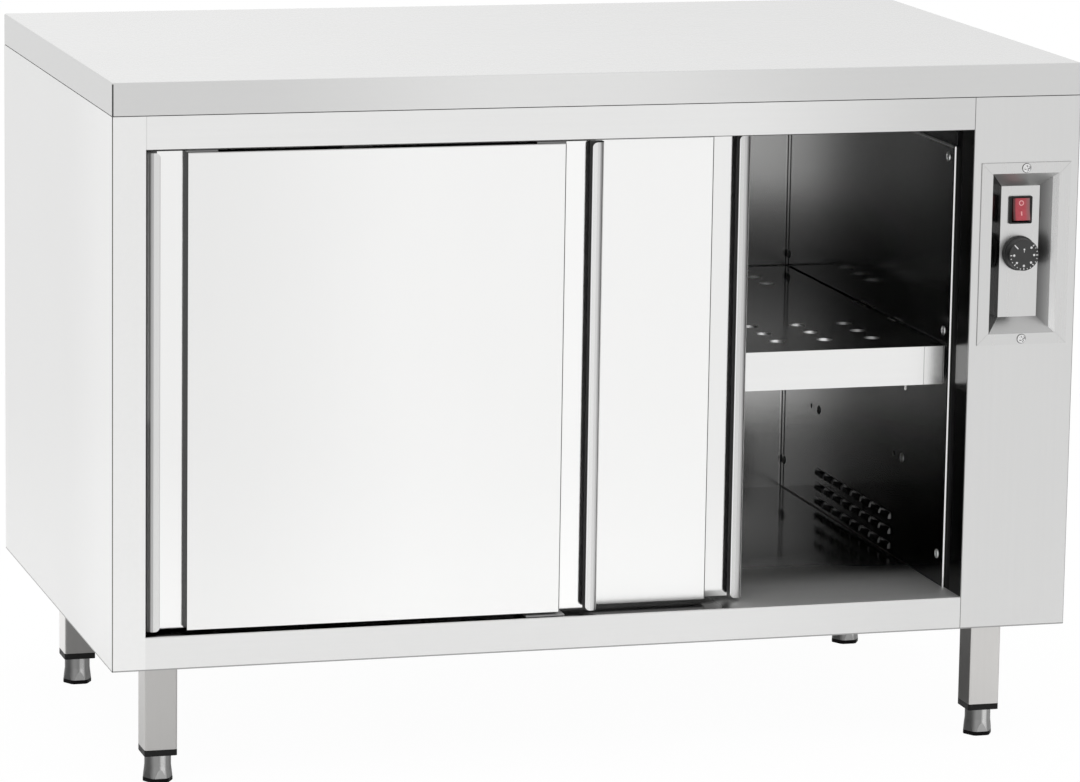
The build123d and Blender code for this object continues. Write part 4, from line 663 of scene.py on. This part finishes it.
# ---- Louvres ----------------------------------------------------------------------------
# A shallow hood stands over each warm-air slot in the right wall. It is pressed from the
# wall's own sheet and is open at its lower side.
SLOT_LENGTH, SLOT_PITCH_Y, SLOT_PITCH_Z, SLOT_COLUMNS = 0.033, 0.037, 0.0195, 8
HOOD_REACH, HOOD_SHEET, HOOD_TOP, HOOD_LOW, HOOD_ROOT = 0.0034, 0.0007, 0.0058, -0.0030, 0.0001
slots_y, slots_z = front + 0.397, floor_level + 0.0295
HOOD_ENDS, END_SHARE, DOWN = (-1.0, -0.94, -0.90, 0.90, 0.94, 1.0), 0.10, 5
hoods = bmesh.new()
for column in range(SLOT_COLUMNS):
    for row in (-1, 0, 1):
        slot_y = slots_y + (column - (SLOT_COLUMNS - 1) / 2) * SLOT_PITCH_Y
        middle = Vector((chamber_right, slot_y, slots_z + row * SLOT_PITCH_Z))
        skins = []
        for reach in (HOOD_REACH, HOOD_REACH - HOOD_SHEET):
            grid = []
            for share in HOOD_ENDS:
                bulge = reach * min(1.0, (1.0 - abs(share)) / END_SHARE) ** 0.6
                grid.append([hoods.verts.new(middle + Vector((
                    HOOD_ROOT - bulge * sin(pi / 2 * j / DOWN), share * SLOT_LENGTH / 2,
                    HOOD_TOP - (HOOD_TOP - HOOD_LOW) * (1 - cos(pi / 2 * j / DOWN)))))
                    for j in range(DOWN + 1)])
            skins.append(grid)
        ends = len(HOOD_ENDS) - 1
        for grid in skins:
            for i in range(ends):
                for j in range(DOWN):
                    hoods.faces.new((
                        grid[i][j], grid[i + 1][j], grid[i + 1][j + 1], grid[i][j + 1]))
        outer, inner = skins
        for i in range(ends):
            hoods.faces.new((outer[i][-1], outer[i + 1][-1], inner[i + 1][-1], inner[i][-1]))
bmesh.ops.remove_doubles(hoods, verts=hoods.verts, dist=MERGE_REACH)
# Painted shade darkens the hoods; their near end gets a lighter tone as a painted glint, and
# their top a tone of its own.
hood_steel = steel("hood_steel", 0.05, 0.16, "Y", [
    (lambda at, face: face.y < -0.6, 0.13, 0.3), (lambda at, face: face.z > 0.75, 0.06, 0.3),
], streak=0.02, edge=0.45)
smooth_piece("louvre_hoods", hoods, hood_steel, "cabinet")

# ---- Door tracks, guide and buffers -----------------------------------------------------
# Galvanised tracks over the doors, a moulded grey guide with two fins on the chamber's
# floor, and rubber buffers on the left jamb.
dress(steel("track_zinc", 0.10, 0.38, "X", streak=0.08, cloud=0.2),
      "front_door_track", "rear_door_track")


PATCH_TO_GRAIN = 22


def moulded(name, dark, light, roughness, grain_size, relief, coat=0.0, gloss=0.5):
    """Moulded plastic or rubber: a fine pebbled skin with a slight change of tone."""
    made, shader, where, _ = surface(name)
    pebble = speckle(where, grain_size, detail=2.0)
    patch = speckle(where, grain_size * PATCH_TO_GRAIN, detail=2.0)
    where.feed(shader.inputs["Base Color"], patch.blend(dark, light))
    where.feed(shader.inputs["Roughness"], roughness * (0.85 + 0.3 * patch))
    shader.inputs["Coat Weight"].default_value = coat
    shader.inputs["Specular IOR Level"].default_value = gloss
    where.feed(shader.inputs["Normal"], dent(where, pebble, relief))
    return made


dress(moulded("guide_plastic", grey(0.30), grey(0.36), 0.45, 0.0005, 0.00003), "door_guide")
dress(moulded("rubber", grey(0.014), grey(0.028), 0.8, 0.0004, 0.00005), "door_buffers")

# ---- Sliding doors ----------------------------------------------------------------------
# Each door is a polished panel with a recessed strip and a rolled grip at each side, backed
# by a flat liner. Two hangers with nylon rollers carry it on its track.
LIP_WIDTH, LIP_DEPTH, LIP_LINE, EDGE_LINE = 0.016, 0.010, 0.0012, 0.0013


def panel_zones(low, high):
    """Painted shade on the panel: its slightly darker left part, its two dark sides, and the shade
    along its right and upper edges."""
    return [
        (lambda at, face: (face.y < STRICT_FRONT) * at.x.fall(low.x, low.x + 0.3), 0.82, 0.22),
        (lambda at, face: face.x < -0.6, 0.06, 0.2),
        (lambda at, face: face.x > 0.6, 0.30, 0.2),
        (lambda at, face: (face.y < STRICT_FRONT) * (at.x > high.x - EDGE_LINE), 0.10, 0.3),
        (lambda at, face: (face.y < STRICT_FRONT) * (at.z > high.z - EDGE_LINE), 0.55, 0.3),
    ]


def grip_zones(outer_edge, inward, door_front, lip_tone):
    """Painted light and shade on the grip: the lip's bands, each from the door's edge as far as a
    given width, the painted line along its inner edge, a highlight on the right grips, the
    painted shade in the hollows of the grip, and a pale band on its outer side."""
    def from_edge(where):
        return (where.x - outer_edge) * inward

    def lip_band(start, end):
        return lambda at, face: (at.y < door_front + LIP_DEPTH) * (
            from_edge(at) > start) * (from_edge(at) < end)

    def behind_lip(where, facing):
        return (facing.y > 0.2) + (facing.y < 0.2) * (from_edge(where) < LIP_WIDTH - 0.001) \
            * (where.y > door_front + LIP_DEPTH)

    # The bands are painted light and shade across the lip, darkest at the door's edge.
    if inward > 0:
        inner_line = 0.60
        bands = [(LIP_WIDTH, lip_tone, 0.26), (0.0080, 0.42, 0.30), (0.0016, 0.20, 0.36)]
    else:
        inner_line = 0.85
        bands = [(LIP_WIDTH, lip_tone, 0.26), (0.0098, 0.88 * lip_tone, 0.30),
                 (0.0062, 0.76 * lip_tone, 0.30), (0.0034, 0.02, 0.36)]
    zones = [(lip_band(-1, width), tone, roughness) for width, tone, roughness in bands]
    return zones + [
        (lip_band(LIP_WIDTH - LIP_LINE, LIP_WIDTH), inner_line, 0.3), (behind_lip, 0.20, 0.5),
        (lambda at, face: face.x * inward > 0.5, 0.18, 0.4),
        (lambda at, face: (face.x * inward < -0.5) * (from_edge(at) > LIP_WIDTH), 0.09, 0.3),
        (lambda at, face: (face.x * inward < -SIDE) * (from_edge(at) < LIP_DEPTH), 0.90, 0.55),
    ]


# The grips' strip and lip tones differ by door and side as painted light and shade; the rear door's
# right grip is the darkest.
for door, right_tones in (("front_door", (0.93, 0.76)), ("rear_door", (0.83, 0.63))):
    panel_low, panel_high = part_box(f"{door}_face")
    dress(steel(f"{door}_polish", 0.90, 0.22, "Z", panel_zones(panel_low, panel_high),
                streak=0.015, edge=0.4), f"{door}_face")
    for side, inward, strip_tone, lip_tone in (
        ("left", 1, 0.86, 0.68), ("right", -1, *right_tones),
    ):
        grip_low, grip_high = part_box(f"{door}_{side}_grip")
        outer_edge = grip_low.x if inward > 0 else grip_high.x
        zones = grip_zones(outer_edge, inward, panel_low.y, lip_tone)
        dress(steel(f"{door}_{side}_grip_polish", strip_tone, 0.10, "Z", zones,
                    streak=0.015, edge=0.5), f"{door}_{side}_grip")
    dress(steel(f"{door}_liner_steel", 0.7, 0.26, "Z"), f"{door}_liner")
    dress(steel(f"{door}_hanger_zinc", 0.20, 0.35, "Z", cloud=0.15), f"{door}_hangers")
    dress(moulded(f"{door}_nylon", (0.70, 0.68, 0.60, 1.0), (0.80, 0.78, 0.72, 1.0),
                  0.4, 0.0006, 0.00002), f"{door}_left_roller", f"{door}_right_roller")

# ---- Control recess ---------------------------------------------------------------------
# A dish pressed from stainless sheet, screwed over the window in the column. Faint creases
# run from the corners of its rim to the corners of the dish.
dish_low, dish_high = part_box("control_recess")
dish_x, dish_z = (dish_low.x + dish_high.x) / 2, (dish_low.z + dish_high.z) / 2
dish_half, dish_half_height = (dish_high.x - dish_low.x) / 2, (dish_high.z - dish_low.z) / 2


def rim_face(where, facing):
    return (facing.y < STRICT_FRONT) * (where.y < front)


def rim_crease(where, facing):
    """The mitre creases on the rim, real creases drawn only as lines of painted shade."""
    from_side = dish_half - abs(where.x - dish_x)
    from_end = dish_half_height - abs(where.z - dish_z)
    return (abs(from_side - from_end) < 0.0004) * rim_face(where, facing)


def rim_painted_shade_lines(where, facing):
    """Painted shade: the darker lines along the rim's left and upper edges."""
    return rim_face(where, facing) * (
        (where.x < dish_low.x + 0.0007) + (where.z > dish_high.z - 0.0005))


# Painted light and shade on the dish: first all its slopes together, then its dark left wall,
# its right wall with three painted tones of its own, the last a painted highlight on its front
# bend, its upper and its lower wall, and last the rim's crease lines, painted shade lines and
# dark edge faces.
dish_walls = [
    (lambda at, face: face.y > -0.97, 0.50, 0.28),
    (lambda at, face: face.x > 0.4, 0.05, 0.16),
    (lambda at, face: face.x < -0.4, 0.26, 0.30),
    (lambda at, face: (face.x < -0.4) * at.y.fall(front, front + 0.016), 0.52, 0.26),
    (lambda at, face: (face.x < -0.4) * at.y.rise(front + 0.014, front + 0.021), 0.12, 0.26),
    (lambda at, face: (face.x < -0.3) * (at.y < dish_low.y + 0.006), 1.0, 0.25),
    (lambda at, face: face.z < -0.4, 0.38, 0.34),
    (lambda at, face: face.z > 0.4, 0.46, 0.22),
    (rim_crease, 0.50, 0.30), (rim_painted_shade_lines, 0.42, 0.30),
    (lambda at, face: (face.y > -0.5) * (at.y < front - 0.0001), 0.08, 0.30),
]
dress(steel("dish_steel", 0.63, 0.28, "Z", dish_walls), "control_recess")

# ---- Switch -----------------------------------------------------------------------------
# A black moulded frame clipped into the dish, with a glossy red rocker that carries a pale
# printed ring and bar. The rocker's left edge is darkened by painted shade, and its right part
# is greyer.
dress(moulded("switch_black", grey(0.010), grey(0.018), 0.42, 0.0005, 0.00001, gloss=0.2),
      "switch_housing")
joints = {joint["name"]: joint for joint in frame["record"]["behaviour"]["joints"]}
pivot = Vector(joints["rocker_press"]["pos_m"])
rocker_red, red_shader, red_place, _ = surface("rocker_red")
tone_wash = speckle(red_place, 0.004)
across = red_place.x - pivot.x
lit_red = tone_wash.blend((0.29, 0.013, 0.025, 1.0), (0.43, 0.052, 0.073, 1.0))
pale_red = across.rise(0.003, 0.010).blend(lit_red, (0.22, 0.085, 0.09, 1.0))
# Painted shade: the rocker's left edge is blended to a dark red.
red_place.feed(red_shader.inputs["Base Color"], across.rise(-0.0095, -0.0065).blend(
    (0.050, 0.004, 0.004, 1.0), pale_red))
red_place.feed(red_shader.inputs["Roughness"], 0.26 + 0.1 * tone_wash)
red_shader.inputs["Coat Weight"].default_value = 0.25
dress(rocker_red, "rocker")


def ink(name, faint, strong):
    """Printing ink, a little uneven."""
    made, shader, where, _ = surface(name)
    where.feed(shader.inputs["Base Color"], speckle(where, 0.0006).blend(faint, strong))
    shader.inputs["Roughness"].default_value = 0.5
    return made


ROCKER_HALF, ROCKER_REACH, ROCKER_SADDLE, ROCKER_TILT = 0.0136, 0.0080, 0.0065, radians(9)
slant = (ROCKER_REACH - ROCKER_SADDLE) / ROCKER_HALF
SIGN_PROUD, RING_RADII, RING_UP, RING_STEPS = 0.00012, (0.0021, 0.0033), 0.0077, 40
BAR_HALF, BAR_LOW, BAR_HIGH = 0.0008, -0.0076, -0.0026


def on_rocker(across, up):
    """A place on the rocker's face, from its middle, with the rocker pressed at the top."""
    out = ROCKER_SADDLE + slant * abs(up) + SIGN_PROUD
    return pivot + Vector((across, -(out * cos(ROCKER_TILT) - up * sin(ROCKER_TILT)),
                           up * cos(ROCKER_TILT) + out * sin(ROCKER_TILT)))


signs = bmesh.new()
loops = [[signs.verts.new(on_rocker(
    radius * cos(2 * pi * i / RING_STEPS), RING_UP + radius * sin(2 * pi * i / RING_STEPS)))
    for i in range(RING_STEPS)] for radius in RING_RADII]
for i in range(RING_STEPS):
    j = (i + 1) % RING_STEPS
    signs.faces.new((loops[0][i], loops[1][i], loops[1][j], loops[0][j]))
signs.faces.new([signs.verts.new(on_rocker(x, z)) for x, z in (
    (-BAR_HALF, BAR_LOW), (BAR_HALF, BAR_LOW), (BAR_HALF, BAR_HIGH), (-BAR_HALF, BAR_HIGH))])
extruded = bmesh.ops.extrude_face_region(signs, geom=signs.faces[:])
bmesh.ops.translate(signs, vec=(0, 2 * SIGN_PROUD, 0),
                    verts=[v for v in extruded["geom"] if isinstance(v, bmesh.types.BMVert)])
sign_ink = ink("sign_ink", (0.58, 0.25, 0.26, 1.0), (0.74, 0.38, 0.39, 1.0))
smooth_piece("rocker_signs", signs, sign_ink, "rocker")

# ---- Thermostat knob --------------------------------------------------------------------
# A black moulded knob on the thermostat's spindle: a wide skirt, a ribbed grip, and a flat
# face with pale printed dots and marks.
dress(moulded("thermostat_grey", grey(0.26), grey(0.32), 0.5, 0.0005, 0.00003),
      "thermostat_body")
dress(bright_zinc("spindle_zinc"), "thermostat_spindle", "thermostat_capillary")
knob_black = moulded("knob_black", grey(0.012), grey(0.022), 0.42, 0.0004, 0.000006, coat=0.10)
knob_low, knob_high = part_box("knob")
knob_x, knob_z = (knob_low.x + knob_high.x) / 2, (knob_low.z + knob_high.z) / 2
knob_seat = Matrix.Translation((knob_x, knob_high.y, knob_z)) @ Matrix.Rotation(pi / 2, 4, "X")
SKIRT_RADIUS, GRIP_RADIUS, SKIRT_HEIGHT = 0.0215, 0.0195, 0.0025
SOCKET_MOUTH, SOCKET_END, SOCKET_DEPTH = 0.00305, 0.00302, 0.012
knob_height = knob_high.y - knob_low.y
RIB_COUNT, RIB_STEPS, RIB_DEPTH = 60, 4, 0.00022
steps = RIB_COUNT * RIB_STEPS
cap = bmesh.new()
outline = [
    (SOCKET_MOUTH, 0.0), (0.0205, 0.0), (SKIRT_RADIUS, 0.0006),
    (SKIRT_RADIUS, SKIRT_HEIGHT - 0.0008), (SKIRT_RADIUS - 0.0008, SKIRT_HEIGHT),
    (GRIP_RADIUS + 0.0003, SKIRT_HEIGHT + 0.0001),
    (GRIP_RADIUS, SKIRT_HEIGHT + 0.0006), (GRIP_RADIUS, knob_height - 0.0014),
    (GRIP_RADIUS - 0.0004, knob_height - 0.0005), (GRIP_RADIUS - 0.0012, knob_height),
    (0.0, knob_height),
]
GRIP_RINGS = slice(6, 8)
knob_rings = turned(cap, outline, knob_seat, steps)
for ring in knob_rings[GRIP_RINGS]:
    for i, corner in enumerate(ring):
        inward = knob_seat.translation - corner.co
        inward.y = 0
        if i % RIB_STEPS in (0, 1):
            corner.co += inward.normalized() * RIB_DEPTH
socket_end = [cap.verts.new(knob_seat @ Vector((
    SOCKET_END * cos(2 * pi * i / steps), SOCKET_END * sin(2 * pi * i / steps), SOCKET_DEPTH)))
    for i in range(steps)]
for i in range(steps):
    j = (i + 1) % steps
    cap.faces.new((knob_rings[0][i], knob_rings[0][j], socket_end[j], socket_end[i]))
cap.faces.new(socket_end)
thermostat_knob = smooth_piece("thermostat_knob", cap, knob_black, "knob")
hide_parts("knob")

PRINT, MARK_END, DOT_SEGMENTS = 0.00008, 0.0180, 20
FIRST_STAGE, STAGE_STEP, STAGES = -90, -45, 6
dial = bmesh.new()


def dial_mark(angle, near, far, width):
    """A radial bar on the knob's face, at a clock angle in degrees."""
    turn = Matrix.Rotation(radians(-angle), 4, "Z")
    corners = [(-width / 2, near), (width / 2, near), (width / 2, far), (-width / 2, far)]
    low, high = ([
        dial.verts.new(knob_seat @ turn @ Vector((x, y, knob_height + z))) for x, y in corners]
        for z in (-PRINT, PRINT))
    dial.faces.new(high)
    for i in range(4):
        dial.faces.new((low[i], low[i - 1], high[i - 1], high[i]))


def dial_dot(angle, away, radius):
    """A round dot on the knob's face."""
    seat = knob_seat @ Matrix.Rotation(radians(-angle), 4, "Z") @ Matrix.Translation((0, away, 0))
    low, high = knob_height - PRINT, knob_height + PRINT
    turned(dial, [(0.0, low), (radius, low), (radius, high), (0.0, high)], seat, DOT_SEGMENTS)


# The starting mark, each stage's dot and mark with two short marks up to the next stage, and
# a small arrow in the middle.
dial_mark(FIRST_STAGE - STAGE_STEP, 0.0112, MARK_END, 0.0013)
for count in range(STAGES):
    stage = FIRST_STAGE + count * STAGE_STEP
    dial_dot(stage, 0.0130, 0.00145)
    dial_mark(stage, 0.0155, MARK_END, 0.0011)
    if count < STAGES - 1:
        for third in (1, 2):
            dial_mark(stage + third * STAGE_STEP / 3, 0.0166, MARK_END, 0.0009)
dial_dot(0, 0.0072, 0.0011)
dial_mark(0, 0.0035, 0.0060, 0.0007)
smooth_piece("dial_print", dial, ink("dial_ink", grey(0.50), grey(0.68)), "knob")

# ---- Heating unit -----------------------------------------------------------------------
# Behind the slots in the right wall: a zinc-coated duct on two feet with a hairpin heater
# in it, and a square fan that blows down into it.
dress(steel("duct_zinc", 0.42, 0.4, "Y", streak=0.08, cloud=0.2), "heater_duct")
dress(moulded("heater_scale", grey(0.05), (0.13, 0.11, 0.10, 1.0), 0.55, 0.001, 0.00004),
      "heating_element")
dress(moulded("fan_black", grey(0.012), grey(0.026), 0.45, 0.0006, 0.00003),
      "fan_frame", "fan_impeller")

# ---- Mains connection -------------------------------------------------------------------
# A screw terminal block of black plastic in the control column, and a black moulded gland,
# screwed into the underside, for the mains cord.
dress(moulded("terminal_black", grey(0.014), grey(0.026), 0.5, 0.0006, 0.00003), "terminal_block")
dress(moulded("gland_black", grey(0.014), grey(0.024), 0.4, 0.0006, 0.00003), "cable_gland")

# ---- Legs and feet ----------------------------------------------------------------------
# Square tubes welded to plates and bolted under the body. A black plastic insert closes each
# tube and takes a foot: a bright sleeve that flares to six flats over a black pad.
dress(moulded("insert_black", grey(0.006), grey(0.012), 0.5, 0.0005, 0.00002, gloss=0.15),
      "leg_inserts")
dress(bright_zinc("bolt_zinc"), "leg_bolts")
PAD_HEIGHT = 0.0050
# Painted shade on the sleeve's sides, a painted highlight as its bright stripe, and the black pad.
FOOT_SHADE_GLINT_AND_PAD = [
    (lambda at, face: abs(face.x - 0.10).rise(0.50, 0.90), 0.09, 0.30),
    (lambda at, face: abs(face.x - 0.20).fall(0.08, 0.30), 0.62, 0.26),
    (lambda at, face: at.z < PAD_HEIGHT, 0.01, 0.6),
]
# Painted light and shade: each leg's left side and front get tones of their own, dark where the leg
# faces the shade under the cabinet, and a sheen value of its own.
for corner, painted_side_tone, painted_front_tone, sheen in (
    ("front_left", 0.56, 0.46, 1.0), ("front_right", 0.17, 0.60, 0.50),
    ("back_left", 0.80, 0.26, 1.0), ("back_right", 0.09, 0.30, 0.45),
):
    leg_zones = [
        (lambda at, face: face.x < -SIDE, painted_side_tone, 0.32),
        (lambda at, face: face.y < FRONT, painted_front_tone, 0.32),
    ]
    dress(steel(f"leg_steel_{corner}", 0.56, 0.32, "Z", leg_zones, tint=(1.0, 0.985, 0.965),
                streak=0.05, edge=sheen), f"leg_{corner}")
    dress(steel(f"foot_steel_{corner}", 0.27, 0.32, "Z", FOOT_SHADE_GLINT_AND_PAD, streak=0.08),
          f"foot_{corner}")
